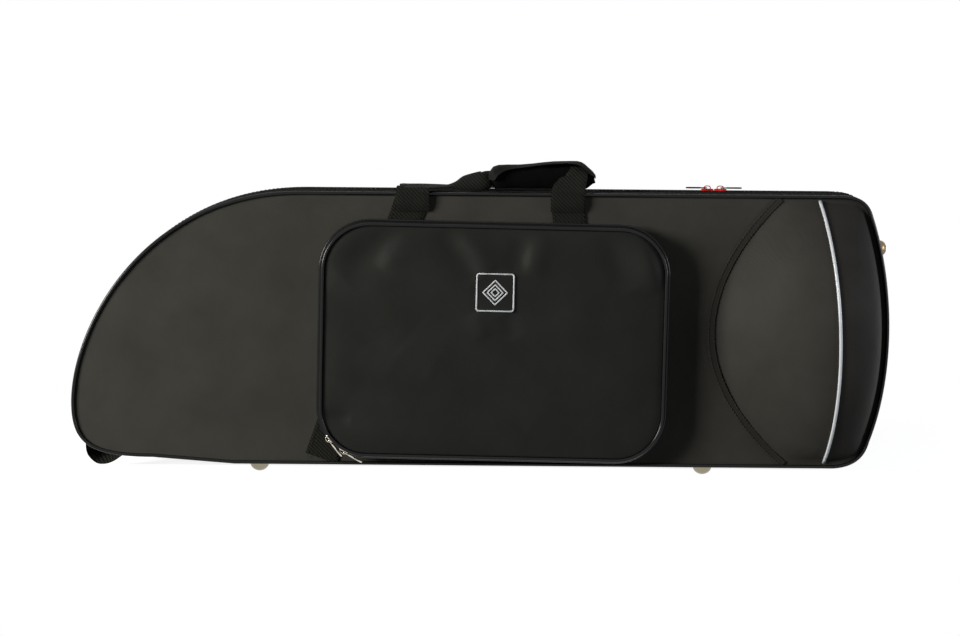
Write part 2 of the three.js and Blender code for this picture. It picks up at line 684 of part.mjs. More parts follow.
// The padded wrap: a rounded sleeve round the front loop, open along its lower front
function gripWrap() {
  const { sides, roundPower } = GRIP;
  const [openFrom, openTo] = GRIP.openDegrees;
  const arc = (shrink) => {
    const points = [];
    for (let i = 0; i <= sides; i++) {
      const turn = THREE.MathUtils.degToRad(openTo + ((openFrom + 360 - openTo) * i) / sides);
      const round = (value) => Math.sign(value) * Math.abs(value) ** roundPower;
      points.push(new THREE.Vector2(
        gripY + (GRIP.depth / 2 - shrink) * round(Math.cos(turn)),
        gripZ + (GRIP.height / 2 - shrink) * round(Math.sin(turn)),
      ));
    }
    return points;
  };
  return bar(new THREE.Shape([...arc(0), ...arc(GRIP.wall).reverse()]), GRIP.left, gripX1);
}

// Zip sliders and pulls, drawn at the origin: track along X, up along Z

function sliderSolid() {
  const { length, width, height, bail, bailBar, bailWidth, bailLength } = SLIDER;
  const body = box(-length / 2, length / 2, -width / 2, width / 2, 0, height);
  const waist = box(-length, -length / 4, -width / 2 - GAP, -width / 4, -GAP, height + GAP);
  const otherWaist = box(-length, -length / 4, width / 4, width / 2 + GAP, -GAP, height + GAP);
  const arch = cut(
    box(-bailLength / 2, bailLength / 2, -bailWidth / 2, bailWidth / 2, height / 2, height + bail),
    box(-bailLength / 2 + bailBar, bailLength / 2 - bailBar, -bailWidth, bailWidth,
      height, height + bail - bailBar),
  );
  return join(cut(body, waist, otherWaist), arch);
}

const pullHeight = SLIDER.height + (SLIDER.bail - SLIDER.bailBar) / 2;
const pullInset = SLIDER.bailLength / 2 - SLIDER.bailBar - GAP - PULL.bar;

// The pull lies along +X with the bar of its window inside the bail
function pullSolid() {
  const { width, thickness, length, window } = PULL;
  const radius = width / 2;
  const shape = new THREE.Shape();
  shape.moveTo(-PULL.bar / 2, -radius);
  shape.lineTo(length - radius, -radius);
  shape.absarc(length - radius, 0, radius, -Math.PI / 2, Math.PI / 2);
  shape.lineTo(-PULL.bar / 2, radius);
  shape.closePath();
  const opening = SLIDER.bailWidth / 2 + 2 * GAP;
  const hole = new THREE.Path();
  hole.moveTo(PULL.bar / 2, -opening);
  hole.lineTo(PULL.bar / 2, opening);
  hole.lineTo(PULL.bar / 2 + window, opening);
  hole.lineTo(PULL.bar / 2 + window, -opening);
  hole.closePath();
  shape.holes.push(hole);
  const form = { depth: thickness, bevelEnabled: false, curveSegments: PULL.segments };
  const geometry = new THREE.ExtrudeGeometry(shape, form);
  geometry.translate(0, 0, -thickness / 2);
  return solidOf(geometry);
}

// Small pieces outside

function badge() {
  const { size, corner, thickness } = BADGE;
  const half = size / 2;
  const [x, z] = [POCKET.centreX + thickness, POCKET.bottom + POCKET.height * badgeShare];
  const shape = new THREE.Shape();
  shape.moveTo(x - half + corner, z - half);
  shape.lineTo(x + half - corner, z - half);
  shape.absarc(x + half - corner, z - half + corner, corner, -Math.PI / 2, 0);
  shape.absarc(x + half - corner, z + half - corner, corner, 0, Math.PI / 2);
  shape.absarc(x - half + corner, z + half - corner, corner, Math.PI / 2, Math.PI);
  shape.absarc(x - half + corner, z - half + corner, corner, Math.PI, Math.PI * 1.5);
  const back = panelFront - POCKET.crown - GAP;
  return plate(shape, back - thickness, back, BADGE.segments);
}

// A webbing loop hanging under the toe
function cornerLoop() {
  const { width, thickness, span, rise, clear } = LOOP;
  const y = -COVER.rimWidth - width / 2;
  const stations = loopShares.map(([along, up]) =>
    [at(toX(loopShare) + span * along, y, clear + rise * up), at(0, 1, 0)]);
  return cut(ribbon(stations, width, thickness), half(-GAP, OVERRUN));
}

// Fittings inside

const accessoryLid = box(wellX0 - WELL.lip + GAP, wellX0 + WELL.length + WELL.lip - GAP,
  PADDING.rimDrop, PADDING.rimDrop + WELL.lid,
  wellZ0 - WELL.lip + GAP, wellZ0 + WELL.height + WELL.lip - GAP);
const tabX = wellX0 + WELL.length / 2;
const tabZ = wellZ0 + WELL.height - WELL.lip * 2;
const accessoryTab = box(tabX - WELL.lip * 2, tabX + WELL.lip * 2,
  PADDING.rimDrop - GAP - WEBBING.thickness, PADDING.rimDrop - GAP, tabZ - WELL.lip, tabZ + WELL.lip * 3);

function mouthpieceBlock() {
  const { length, width, depth, well, wellDepth, sides } = BLOCK;
  const front = PADDING.rimDrop;
  const block = box(blockX0, blockX0 + length, front, front + depth, blockZ1 - width, blockZ1);
  const bores = boreShares.map((share) => {
    const bore = new THREE.CylinderGeometry(well, well, wellDepth + OVERRUN, sides);
    bore.translate(blockX0 + length * share, front + (wellDepth - OVERRUN) / 2, blockZ1 - width / 2);
    return solidOf(bore);
  });
  return cut(block, ...bores);
}

function bellSaddle() {
  const { length, height, saddle } = NECK;
  const x0 = toX(bellCavityShare) + length / 2;
  const floorY = CASE.slimDepth - padInside - GAP;
  const block = box(x0, x0 + length, PADDING.rimDrop, floorY, bellMidZ - height / 2, bellMidZ + height / 2);
  const groove = new THREE.CylinderGeometry(saddle, saddle, length * 3, NECK.sides);
  groove.rotateZ(Math.PI / 2);
  groove.translate(x0, PADDING.rimDrop, bellMidZ);
  return cut(block, solidOf(groove));
}

const clipXs = clipShares.map((share) => slotX0 + SLIDE_SLOT.length * share);
const clipZ = slotMidZ + SLIDE_SLOT.width / 2 + CLIP.width * clipAboveShare;
const clipBack = -PADDING.rimDrop + GAP;

// A turn clip: pivot at its top end, hanging down across the slot
function slideClip(x) {
  const { length, width, thickness, bore } = CLIP;
  const radius = width / 2;
  const shape = new THREE.Shape();
  shape.absarc(x, clipZ, radius, 0, Math.PI);
  shape.absarc(x, clipZ - length + width, radius, Math.PI, 2 * Math.PI);
  shape.closePath();
  const hole = new THREE.Path();
  hole.absarc(x, clipZ, bore, 0, 2 * Math.PI);
  shape.holes.push(hole);
  return plate(shape, clipBack, clipBack + thickness);
}

function clipScrew(x, grow = 0) {
  const { screw, head, headHeight, thickness, screwDepth } = CLIP;
  const tip = clipBack - screwDepth;
  const under = clipBack + thickness + GAP;
  const profile = [
    [0, tip - grow], [screw + grow, tip - grow], [screw + grow, under], [head, under],
    [head, under + headHeight], [0, under + headHeight],
  ];
  const geometry = turned(profile, CLIP.sides);
  geometry.translate(x, 0, clipZ);
  return solidOf(geometry);
}

const drilledLidInsert = cut(lidInsert, ...clipXs.map((x) => clipScrew(x, GAP)));

// Colours and finishes

const finish = (color, roughness, metalness = 0) =>
  new THREE.MeshStandardMaterial({ color, roughness, metalness });
const nylon = finish(0x3a3936, 0.85);
const coated = finish(0x201f1d, 0.45);
const leather = finish(0x26241f, 0.35);
const webbing = finish(0x2a2a28, 0.9);
const trim = finish(0x0c0c0b, 0.3);
const white = finish(0xe8e8e6, 0.4);
const foam = finish(0x24242c, 0.95);
const plush = finish(0x1b1d2a, 1);
const nickel = finish(0xc9c7c2, 0.25, 1);
const red = finish(0xd0342c, 0.45);
const black = finish(0x151514, 0.6);

// Assembly

function mesh(name, solid, material) {
  const made = new THREE.Mesh(geometryOf(solid), material);
  made.name = name;
  return made;
}

function placedMesh(name, solid, material, x, y, z, turn = 0) {
  const made = mesh(name, solid, material);
  made.position.set(x, y, z);
  made.rotation.y = turn;
  return made;
}

function addPair(lid, base, name, solid, material) {
  lid.add(mesh(`lid_${name}`, solid, material));
  base.add(mesh(`base_${name}`, mirrored(solid), material));
}

function shellHalves(lid, base) {
  addPair(lid, base, "shell", coreSolid, foam);
  addPair(lid, base, "cover", nylonSkin, nylon);
  addPair(lid, base, "end_cover", endSkin, leather);
  addPair(lid, base, "edge_piping", piping, trim);
  addPair(lid, base, "end_piping", ridgePiping(), white);
  addPair(lid, base, "curved_seam", seamBand(), nylon);
  addPair(lid, base, "zip_tape", zipTape, black);
  addPair(lid, base, "hinge_tape", hingeTape, black);
  strapTopShares.forEach((share, i) => {
    const side = ["left", "right"][i];
    addPair(lid, base, `${side}_strap`, faceStrap(share, strapBottomShares[i]), webbing);
    addPair(lid, base, `${side}_foot`, foot(toX(footShares[i]), -FOOT.insetY), nickel);
  });
  addPair(lid, base, "end_foot", endFoot(-FOOT.insetY), nickel);
  lid.add(mesh("lid_corner_loop", cornerLoop(), webbing));
}

function interior(lid, base) {
  lid.add(mesh("lid_insert", drilledLidInsert, plush));
  base.add(mesh("base_insert", baseInsert, plush));
  clipXs.forEach((x, i) => {
    lid.add(mesh(`slide_clip_${i + 1}`, slideClip(x), black));
    lid.add(mesh(`clip_screw_${i + 1}`, clipScrew(x), nickel));
  });
  base.add(mesh("mouthpiece_block", mouthpieceBlock(), foam));
  base.add(mesh("bell_saddle", bellSaddle(), foam));
  base.add(mesh("accessory_lid", accessoryLid, plush));
  base.add(mesh("accessory_tab", accessoryTab, webbing));
}

function pocket(lid) {
  lid.add(mesh("pocket_side_wall", pocketGusset, coated));
  lid.add(mesh("pocket_zip", setAskew(pocketZip()), black));
  lid.add(mesh("pocket_panel", setAskew(pocketPanel), coated));
  lid.add(mesh("pocket_piping", setAskew(pocketPiping()), trim));
  lid.add(mesh("pocket_badge", setAskew(badge()), webbing));
}

function handles(lid, base) {
  lid.add(mesh("front_handle", frontHandle(), webbing));
  lid.add(mesh("grip_wrap", gripWrap(), coated));
  base.add(mesh("rear_handle", rearHandle(), webbing));
}

const mainTrackZ = topZ - COVER.rimInset + GAP + ZIP.teethHeight + GAP;
const pocketTrackRadius = POCKET.corner + 3 * GAP + ZIP.thickness;
const pocketTrackY = pocketRim + POCKET.zipWidth / 2;

function mainZip(base) {
  sliderShares.forEach((share, i) => {
    const x = toX(share);
    base.add(placedMesh(`main_slider_${i + 1}`, sliderSolid(), red, x, 0, mainTrackZ));
    const turn = i === 0 ? Math.PI : 0;
    const side = i === 0 ? -1 : 1;
    const z = mainTrackZ + pullHeight;
    base.add(placedMesh(`main_pull_${i + 1}`, pullSolid(), black, x + side * pullInset, 0, z, turn));
  });
}

function pocketZipSliders(lid) {
  const [cornerX, cornerZ] = [pocketX0 + POCKET.corner, POCKET.bottom + POCKET.corner];
  POCKET.sliderDegrees.forEach((degrees, i) => {
    const angle = THREE.MathUtils.degToRad(degrees);
    const out = at(Math.cos(angle), 0, Math.sin(angle));
    const along = at(-Math.sin(angle), 0, Math.cos(angle));
    const seat = at(cornerX, pocketTrackY, cornerZ).addScaledVector(out, pocketTrackRadius);
    const turn = Math.PI / 2 - angle + pocketTurn;
    const bail = seat.clone().addScaledVector(out, pullHeight).addScaledVector(along, pullInset);
    seat.applyMatrix4(askew);
    bail.applyMatrix4(askew);
    lid.add(placedMesh(`pocket_slider_${i + 1}`, sliderSolid(), nickel, ...seat, turn));
    lid.add(placedMesh(`pocket_pull_${i + 1}`, pullSolid(), nickel, ...bail, turn + Math.PI));
  });
}

const part = new THREE.Group();
const lid = new THREE.Group();
const base = new THREE.Group();
part.add(lid, base);
shellHalves(lid, base);
interior(lid, base);
pocket(lid);
handles(lid, base);
mainZip(base);
pocketZipSliders(lid);

export default part;
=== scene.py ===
"""Looks of a shaped soft trombone case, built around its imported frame.

Helpers work in millimetres, in the frame's own axes; make() turns them into metres.
"""
import math

import bmesh
import bpy
import numpy as np
from mathutils import Matrix, Vector
from mathutils.geometry import delaunay_2d_cdt

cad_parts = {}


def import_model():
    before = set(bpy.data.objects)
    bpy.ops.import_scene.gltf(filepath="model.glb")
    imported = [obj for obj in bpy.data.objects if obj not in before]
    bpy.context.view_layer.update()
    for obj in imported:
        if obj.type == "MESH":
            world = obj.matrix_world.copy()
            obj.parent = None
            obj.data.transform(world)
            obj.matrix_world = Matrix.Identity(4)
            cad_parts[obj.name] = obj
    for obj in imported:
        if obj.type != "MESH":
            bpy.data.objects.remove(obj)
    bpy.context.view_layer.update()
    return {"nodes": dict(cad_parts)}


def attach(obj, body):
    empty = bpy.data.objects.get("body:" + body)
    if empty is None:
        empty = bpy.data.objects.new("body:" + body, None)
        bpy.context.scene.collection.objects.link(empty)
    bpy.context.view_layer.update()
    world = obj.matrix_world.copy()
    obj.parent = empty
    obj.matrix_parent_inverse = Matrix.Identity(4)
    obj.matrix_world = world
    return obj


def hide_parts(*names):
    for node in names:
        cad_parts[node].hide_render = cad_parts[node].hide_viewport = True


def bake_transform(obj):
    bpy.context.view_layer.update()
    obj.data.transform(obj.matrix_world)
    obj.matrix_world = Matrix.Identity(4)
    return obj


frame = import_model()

scene = bpy.context.scene

# Sizes that repeat the part's own, in millimetres
LENGTH, HEIGHT, FOOT = 960, 322, 12
SLIM, BELL = 66, 128
BOTTOM, TOP = FOOT, FOOT + HEIGHT
FACE_INSET = 3.2
BORDER = 9.5
WEBBING_WIDTH = 39
PIPING_RADIUS = 2.1
FOOT_Y, END_FOOT_X = -40, 478.8
POCKET_WIDTH, POCKET_HEIGHT, POCKET_CORNER, POCKET_TILT = 396, 267, 53, math.radians(0.85)
POCKET_X, POCKET_Z = 15.3, 27 + POCKET_HEIGHT / 2
BADGE = np.array([POCKET_X + 1.2, 219.8])

# Sockets of Blender's Mix node for colours
MIX_A, MIX_B, MIX_RESULT = 6, 7, 2


def to_x(share):
    return (share - 0.5) * LENGTH


def to_z(share):
    return FOOT + share * HEIGHT


# Materials

class Nodes:
    """The nodes of a material or a world, with a short way to add some."""

    def __init__(self, owner):
        owner.use_nodes = True
        self.tree = owner.node_tree

    def add(self, kind, **settings):
        node = self.tree.nodes.new("ShaderNode" + kind)
        for key, value in settings.items():
            setattr(node, key, value)
        return node

    def link(self, out, into):
        self.tree.links.new(out, into)

    def math(self, operation, a, b=0.0, c=0.0, **settings):
        node = self.add("Math", operation=operation, **settings)
        for socket, value in zip(node.inputs, (a, b, c)):
            if isinstance(value, (int, float)):
                socket.default_value = value
            else:
                self.link(value, socket)
        return node.outputs[0]

    def between(self, fac, low, high):
        """A colour from low to high along a factor from 0 to 1"""
        node = self.add("Mix", data_type="RGBA")
        for spot, color in ((MIX_A, low), (MIX_B, high)):
            node.inputs[spot].default_value = (*color, 1)
        self.link(fac, node.inputs[0])
        return node.outputs[MIX_RESULT]

    def spread(self, value, low, high, start=0.0, end=1.0):
        """From low to high as a value goes from start to end"""
        node = self.add("MapRange")
        for key, number in (("From Min", start), ("From Max", end), ("To Min", low), ("To Max", high)):
            node.inputs[key].default_value = number
        self.link(value, node.inputs["Value"])
        return node.outputs[0]


class Look(Nodes):
    """A Principled material; p and q run along its two sets of threads."""

    def __init__(self, name, color, roughness, gloss=0.5, **inputs):
        self.material = bpy.data.materials.new(name)
        super().__init__(self.material)
        self.shader = self.tree.nodes["Principled BSDF"]
        inputs |= {"Base Color": (*color, 1), "Roughness": roughness, "Specular IOR Level": gloss}
        for key, value in inputs.items():
            self.shader.inputs[key.replace("_", " ")].default_value = value
        self.color = color
        self.place = self.add("TexCoord").outputs["Object"]
        split = self.add("SeparateXYZ")
        self.link(self.place, split.inputs[0])
        x, y, z = split.outputs
        self.p = self.math("ADD", x, y)
        self.q = self.math("SUBTRACT", z, y)

    def mixed(self, a, share, b):
        """This share of a, and b for the rest"""
        return self.math("MULTIPLY_ADD", a, share, self.math("MULTIPLY", b, 1 - share))

    def texture(self, kind, size):
        node = self.add(kind)
        node.inputs["Scale"].default_value = 1000 / size
        self.link(self.place, node.inputs["Vector"])
        return node

    def noise(self, size):
        """Smooth noise from 0 to 1 with blotches of about this size in millimetres"""
        node = self.texture("TexNoise", size)
        node.inputs["Detail"].default_value = 3
        return node.outputs["Fac"]

    def wave(self, along, pitch):
        """A sine along a place in metres, with its pitch in millimetres"""
        return self.math("SINE", self.math("MULTIPLY", along, 2000 * math.pi / pitch))

    def bump(self, *layers):
        """Each layer is a height socket and its depth in millimetres"""
        normal = None
        for height, depth in layers:
            node = self.add("Bump")
            node.inputs["Distance"].default_value = depth / 1000
            self.link(height, node.inputs["Height"])
            if normal:
                self.link(normal, node.inputs["Normal"])
            normal = node.outputs[0]
        self.link(normal, self.shader.inputs["Normal"])
        return self

    def tint(self, fac, dark, light):
        """The base colour from dark to light times itself along a factor from 0 to 1"""
        low, high = [[min(c * share, 1) for c in self.color] for share in (dark, light)]
        self.link(self.between(fac, low, high), self.shader.inputs["Base Color"])
        return self

    def rough(self, fac, low, high):
        self.link(self.spread(fac, low, high), self.shader.inputs["Roughness"])
        return self


def half_up(look, wave):
    return look.math("MULTIPLY_ADD", wave, 0.5, 0.5)


def cloth(name, color, pitch, roughness=0.8, depth=0.16, blotch=60, **inputs):
    look = Look(name, color, roughness, **inputs)
    weave = look.math("MULTIPLY", look.wave(look.p, pitch), look.wave(look.q, pitch))
    mottled = look.mixed(half_up(look, weave), 0.12, look.noise(blotch))
    return look.tint(mottled, 0.7, 1.3).bump((look.noise(9), 0.25), (weave, depth * 0.35))


def pile(name, color, tuft, **inputs):
    """A short pile, uneven in tone and height"""
    look = Look(name, color, 0.95, gloss=0.05, **inputs)
    mottled = look.mixed(look.noise(tuft * 2), 0.3, look.noise(35))
    return look.tint(mottled, 0.7, 1.3).bump((look.noise(12), 0.3), (look.noise(tuft), 0.12))


def strap(name, color):
    look = Look(name, color, 0.75, gloss=0.05)
    diagonal = look.wave(look.math("ADD", look.p, look.q), 4.6)
    twill = look.math("MULTIPLY_ADD", look.wave(look.p, 1.5), 0.35, diagonal)
    return look.tint(half_up(look, twill), 0.55, 1.45).bump((look.noise(12), 0.3), (twill, 0.28))


def leather(name, color, roughness, grain=1.6, depth=0.12, gloss=0.07):
    look = Look(name, color, roughness, gloss)
    look.tint(look.noise(45), 0.75, 1.25).rough(look.noise(20), roughness - 0.06, roughness + 0.1)
    cells = look.texture("TexVoronoi", grain).outputs["Distance"]
    return look.bump((look.noise(14), 0.3), (cells, depth))


def moulded(name, color, roughness, **inputs):
    look = Look(name, color, roughness, **inputs)
    look.tint(look.noise(25), 0.85, 1.15).rough(look.noise(6), roughness * 0.85, roughness * 1.2)
    return look.bump((look.noise(1.2), 0.02))


NYLON = cloth("nylon", (0.047, 0.0455, 0.04), 1.5, 0.5, gloss=0.03)
GUSSET = cloth("gusset", (0.009, 0.009, 0.008), 1.5, 0.95, gloss=0.03)
PANEL = leather("coated_fabric", (0.0195, 0.0206, 0.0182), 0.34, 1.1, 0.07, 0.045)
WRAP = leather("wrap", (0.0095, 0.0098, 0.0088), 0.62, 1.1, 0.1, 0.04)
LEATHER = leather("leathercloth", (0.034, 0.032, 0.03), 0.5, gloss=0.03)
WEBBING = strap("webbing", (0.0138, 0.0142, 0.012))
TRIM = moulded("piping", (0.006, 0.006, 0.006), 0.17, gloss=0.2)
WHITE = moulded("white_piping", (0.72, 0.75, 0.78), 0.3, Coat_Weight=0.2)
ZIP = cloth("zip_tape", (0.011, 0.011, 0.011), 1.0, 0.7, gloss=0.05)
TEETH = moulded("zip_teeth", (0.012, 0.012, 0.012), 0.5, gloss=0.05)
PLUSH = pile("plush", (0.022, 0.026, 0.055), 2.4, Sheen_Weight=0.3, Sheen_Roughness=0.35,
             Sheen_Tint=(0.35, 0.4, 0.75, 1))
NICKEL = moulded("nickel", (0.62, 0.58, 0.5), 0.24, Metallic=1.0)
BRASS = moulded("brass", (0.2, 0.15, 0.085), 0.3, Metallic=1.0)
STUD = moulded("aged_nickel", (0.3, 0.27, 0.2), 0.26, Metallic=1.0)
SEAM = cloth("seam_cloth", (0.033, 0.032, 0.028), 1.5, 0.6, gloss=0.03)
RED = moulded("red_enamel", (0.6, 0.02, 0.012), 0.38, gloss=0.12)
# Near-black pile for the lining roll in the grip sleeve; its darkness is painted shade for the sleeve's mouth
PILE_PAINTED_SHADE = cloth("loop_pile_painted_shade", (0.003, 0.003, 0.003), 0.8, 1.0, 0.3, 20, gloss=0.05)
BLACK = moulded("black_plastic", (0.012, 0.012, 0.012), 0.4, gloss=0.14)
FOAM = moulded("foam", (0.03, 0.03, 0.036), 0.9, gloss=0.1)
SEAM_THREAD = moulded("seam_thread", (0.05, 0.049, 0.044), 0.6, gloss=0.06)
THREAD = moulded("thread", (0.02, 0.019, 0.018), 0.6, gloss=0.06)
SILVER_THREAD = cloth("silver_thread", (0.62, 0.64, 0.66), 0.7, 0.5, 0.15, 8)


# Shapes

def linked(name, data):
    """A new object in the scene"""
    obj = bpy.data.objects.new(name, data)
    scene.collection.objects.link(obj)
    return obj


class Shape:
    """Points and faces in millimetres that end up as one mesh."""

    def __init__(self):
        self.points, self.faces = [], []

    def add(self, points, faces):
        start = len(self.points)
        self.points.extend(tuple(map(float, p)) for p in points)
        self.faces.extend([i + start for i in face] for face in faces)
        return self

    def grid(self, rows, around=False, closed=False, caps=False):
        """Rows of points; around joins each row's ends, closed joins the last row to the first"""
        rows = np.asarray(rows, float)
        count, width = rows.shape[:2]
        faces = []
        for r in range(count if closed else count - 1):
            n = (r + 1) % count
            for c in range(width if around else width - 1):
                d = (c + 1) % width
                faces.append([r * width + c, r * width + d, n * width + d, n * width + c])
        if caps and not closed:
            faces.append(list(range(width))[::-1])
            faces.append([(count - 1) * width + c for c in range(width)])
        return self.add(rows.reshape(-1, 3), faces)

    def solid(self, rows):
        """Closed rows with a cap at both ends"""
        return self.grid(rows, around=True, caps=True)

    def sweep(self, path, side, section, closed=False):
        """A section, along side and up, carried along a path; side may be one direction or one per point"""
        path = np.asarray(path, float)
        side = np.broadcast_to(np.asarray(side, float), path.shape)
        if closed:
            along = np.roll(path, -1, 0) - np.roll(path, 1, 0)
        else:
            along = np.gradient(path, axis=0)
        along = unit(along)
        side = unit(side - along * np.sum(side * along, 1, keepdims=True))
        up = np.cross(along, side)
        section = np.broadcast_to(np.asarray(section, float), (len(path), *np.shape(section)[-2:]))
        rows = path[:, None] + side[:, None] * section[..., :1] + up[:, None] * section[..., 1:]
        return self.grid(rows, around=True, closed=closed, caps=True)

    def moved(self, change):
        self.points = [tuple(p) for p in change(np.array(self.points))]
        return self

    def make(self, name, look, body=None, nodes=(), slot=None, mirror=False, sharp=35):
        points = np.array(self.points) / 1000 * (1, -1 if mirror else 1, 1)
        faces = [face[::-1] if mirror else face for face in self.faces]
        mesh = bpy.data.meshes.new(name)
        mesh.from_pydata(points.tolist(), [], faces)
        obj = linked(name, mesh)
        mesh.materials.append(look.material)
        mesh.shade_smooth()
        if sharp:
            mesh.set_sharp_from_angle(angle=math.radians(sharp))
        return settle(obj, body, nodes)

    def pair(self, name, look, nodes, slot, **more):
        """The same piece on the lid and, mirrored, on the base"""
        made = []
        for half in ("lid", "base"):
            own = [f"{half}_{node}" for node in nodes]
            made.append(self.make(f"{half}_{name}", look, half, own, slot, mirror=half == "base", **more))
        return made


def settle(obj, body, nodes):
    """Puts the piece on its body and hides the nodes it stands for"""
    if body:
        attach(obj, body)
    if nodes:
        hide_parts(*nodes)
    return obj


def bake(obj):
    """Applies the object's modifiers to its mesh"""
    graph = bpy.context.evaluated_depsgraph_get()
    made = bpy.data.meshes.new_from_object(obj.evaluated_get(graph))
    obj.modifiers.clear()
    obj.data = made


def at(*values):
    """Points from their coordinates; a single number is repeated"""
    return np.stack(np.broadcast_arrays(*values), -1)


def unit(v):
    return v / np.maximum(np.linalg.norm(v, axis=-1, keepdims=True), 1e-12)


def circle(radius, sides=12, squash=1.0):
    turn = np.arange(sides) * 2 * np.pi / sides
    return at(radius * np.cos(turn), radius * squash * np.sin(turn))


def strap_section(width, thickness, bend=0.0, count=11):
    """Closed section of a strap with thinned edges, flat or curled into an arc of this angle"""
    s = np.linspace(-0.5, 0.5, count)
    a = s * bend
    if abs(bend) > 0.01:
        middle = at(np.sin(a), np.cos(a) - math.cos(bend / 2)) * width / bend
    else:
        middle = at(s * width, 0)
    out = at(np.sin(a), np.cos(a))
    thick = thickness / 2 * np.clip((0.5 - np.abs(s)) * 8 + 0.45, 0, 1)[:, None]
    return np.concatenate([middle + out * thick, (middle - out * thick)[::-1]])


def through(points, count):
    """A smooth curve through the points, as count points evenly spaced along it"""
    p = np.asarray(points, float)
    padded = np.concatenate([[2 * p[0] - p[1]], p, [2 * p[-1] - p[-2]]])
    fine = []
    for i in range(len(p) - 1):
        a, b, c, d = padded[i:i + 4]
        t = np.linspace(0, 1, 24, endpoint=i == len(p) - 2)[:, None]
        square, cube = 2 * a - 5 * b + 4 * c - d, 3 * b - a - 3 * c + d
        fine.append(0.5 * (2 * b + (c - a) * t + square * t ** 2 + cube * t ** 3))
    return evenly(np.concatenate(fine), count)


def at_y(flat, y):
    """Points in X and Z put at a depth"""
    return at(flat[:, 0], y, flat[:, 1])


def evenly(points, count, columns=3, closed=False):
    """The same line as count points evenly spaced along its first columns"""
    points = np.asarray(points, float)
    if closed:
        points = np.concatenate([points, points[:1]])
    steps = np.linalg.norm(np.diff(points[:, :columns], axis=0), axis=1)
    run = np.concatenate([[0], np.cumsum(steps)])
    spots = np.linspace(0, run[-1], count, endpoint=not closed)
    return np.stack([np.interp(spots, run, points[:, k]) for k in range(points.shape[1])], 1)


def waves(x, z, size, seed):
    """Gentle unevenness of about -1 to 1, the same each run"""
    own = np.random.default_rng(seed)
    total = np.zeros_like(x, float)
    for _ in range(6):
        angle, phase = own.uniform(0, 2 * np.pi, 2)
        length = size * own.uniform(0.7, 1.6)
        total += np.sin((x * np.cos(angle) + z * np.sin(angle)) * 2 * np.pi / length + phase)
    return total / 4


# The case's outline and the depth of its face

def run_of(*shares, spacing=6):
    """A straight line or a cubic curve, from shares of the case's length and height"""
    p = np.array([[to_x(x), to_z(z)] for x, z in shares])
    steps = max(3, int(np.linalg.norm(np.diff(p, axis=0), axis=1).sum() / spacing))
    t = np.arange(steps)[:, None] / steps
    if len(p) == 2:
        return p[0] + (p[1] - p[0]) * t
    return p[0] * (1 - t) ** 3 + 3 * p[1] * t * (1 - t) ** 2 + 3 * p[2] * t ** 2 * (1 - t) + p[3] * t ** 3


def quadratic(low, mid, high, z):
    """X of a bowed line from its shares of the length at the bottom, middle and top"""
    v = (np.asarray(z, float) - BOTTOM) / (HEIGHT / 2) - 1
    return to_x(mid + (high - low) / 2 * v + ((high + low) / 2 - mid) * v ** 2)


def ridge_x(z):
    return quadratic(0.9218, 0.9307, 0.91, z)


def seam_x(z):
    off = (np.asarray(z, float) - to_z(0.495)) / (HEIGHT / 2)
    return to_x(0.7879 + (np.where(off < 0, 0.8864, 0.872) - 0.7879) * off ** 2)


split_low, split_high = [float(ridge_x(z)) / LENGTH + 0.5 for z in (BOTTOM, TOP)]
RUNS = [
    run_of((0.2, 0), (split_low, 0)),
    run_of((split_low, 0), (0.935, 0), spacing=4),
    run_of((0.935, 0), (0.962, 0.006), (0.974, 0.045), (0.9785, 0.1), spacing=3),
    run_of((0.9785, 0.1), (1.0074, 0.33), (1.0074, 0.66), (0.977, 0.925)),
    run_of((0.977, 0.925), (0.9725, 0.975), (0.96, 1), (0.94, 1), spacing=3),
    run_of((0.94, 1), (split_high, 1), spacing=4),
    run_of((split_high, 1), (0.28, 1)),
    run_of((0.28, 1), (0.09, 1), (0, 0.5), (0, 0.22)),
    run_of((0, 0.22), (0, 0.06), (0.025, 0.022), (0.1, 0.022), spacing=4),
    run_of((0.1, 0.022), (0.2, 0)),
]
STARTS = np.concatenate([[0], np.cumsum([len(run) for run in RUNS])])
OUTLINE = np.concatenate(RUNS)
edge = unit(np.roll(OUTLINE, -1, 0) - OUTLINE)
edge_out = at(edge[:, 1], -edge[:, 0])
before = np.roll(edge_out, 1, 0)
MITRE = (before + edge_out) / (1 + np.sum(before * edge_out, 1, keepdims=True))


def ring(inset, y, first=0, last=None):
    """The outline moved in, at a depth; first and last pick an open stretch of it"""
    whole = at_y(OUTLINE - MITRE * inset, y)
    if last is None:
        return whole
    return whole[np.arange(first, last + 1) % len(whole)]


end_stretch = (OUTLINE - MITRE * BORDER)[STARTS[2]:STARTS[5]]


def end_x(z):
    return np.interp(z, end_stretch[:, 1], end_stretch[:, 0])


def depth(x, z):
    """How far the face stands out from the parting plane"""
    low, high = BOTTOM + BORDER, TOP - BORDER
    v = np.clip((2 * z - low - high) / (high - low), -1, 1)
    lift = (1 - np.abs(v) ** 2.2) ** 0.8
    seam, ridge, end = seam_x(z), ridge_x(z), end_x(z)
    climb = np.sin(np.clip((x - seam) / (ridge - seam), 0, 1) * np.pi / 2) ** 1.25
    fall = np.sqrt(1 - np.clip((x - ridge) / (end - ridge), 0, 1) ** 2)
    return SLIM + (BELL - SLIM) * lift * np.where(x < ridge, climb, fall)


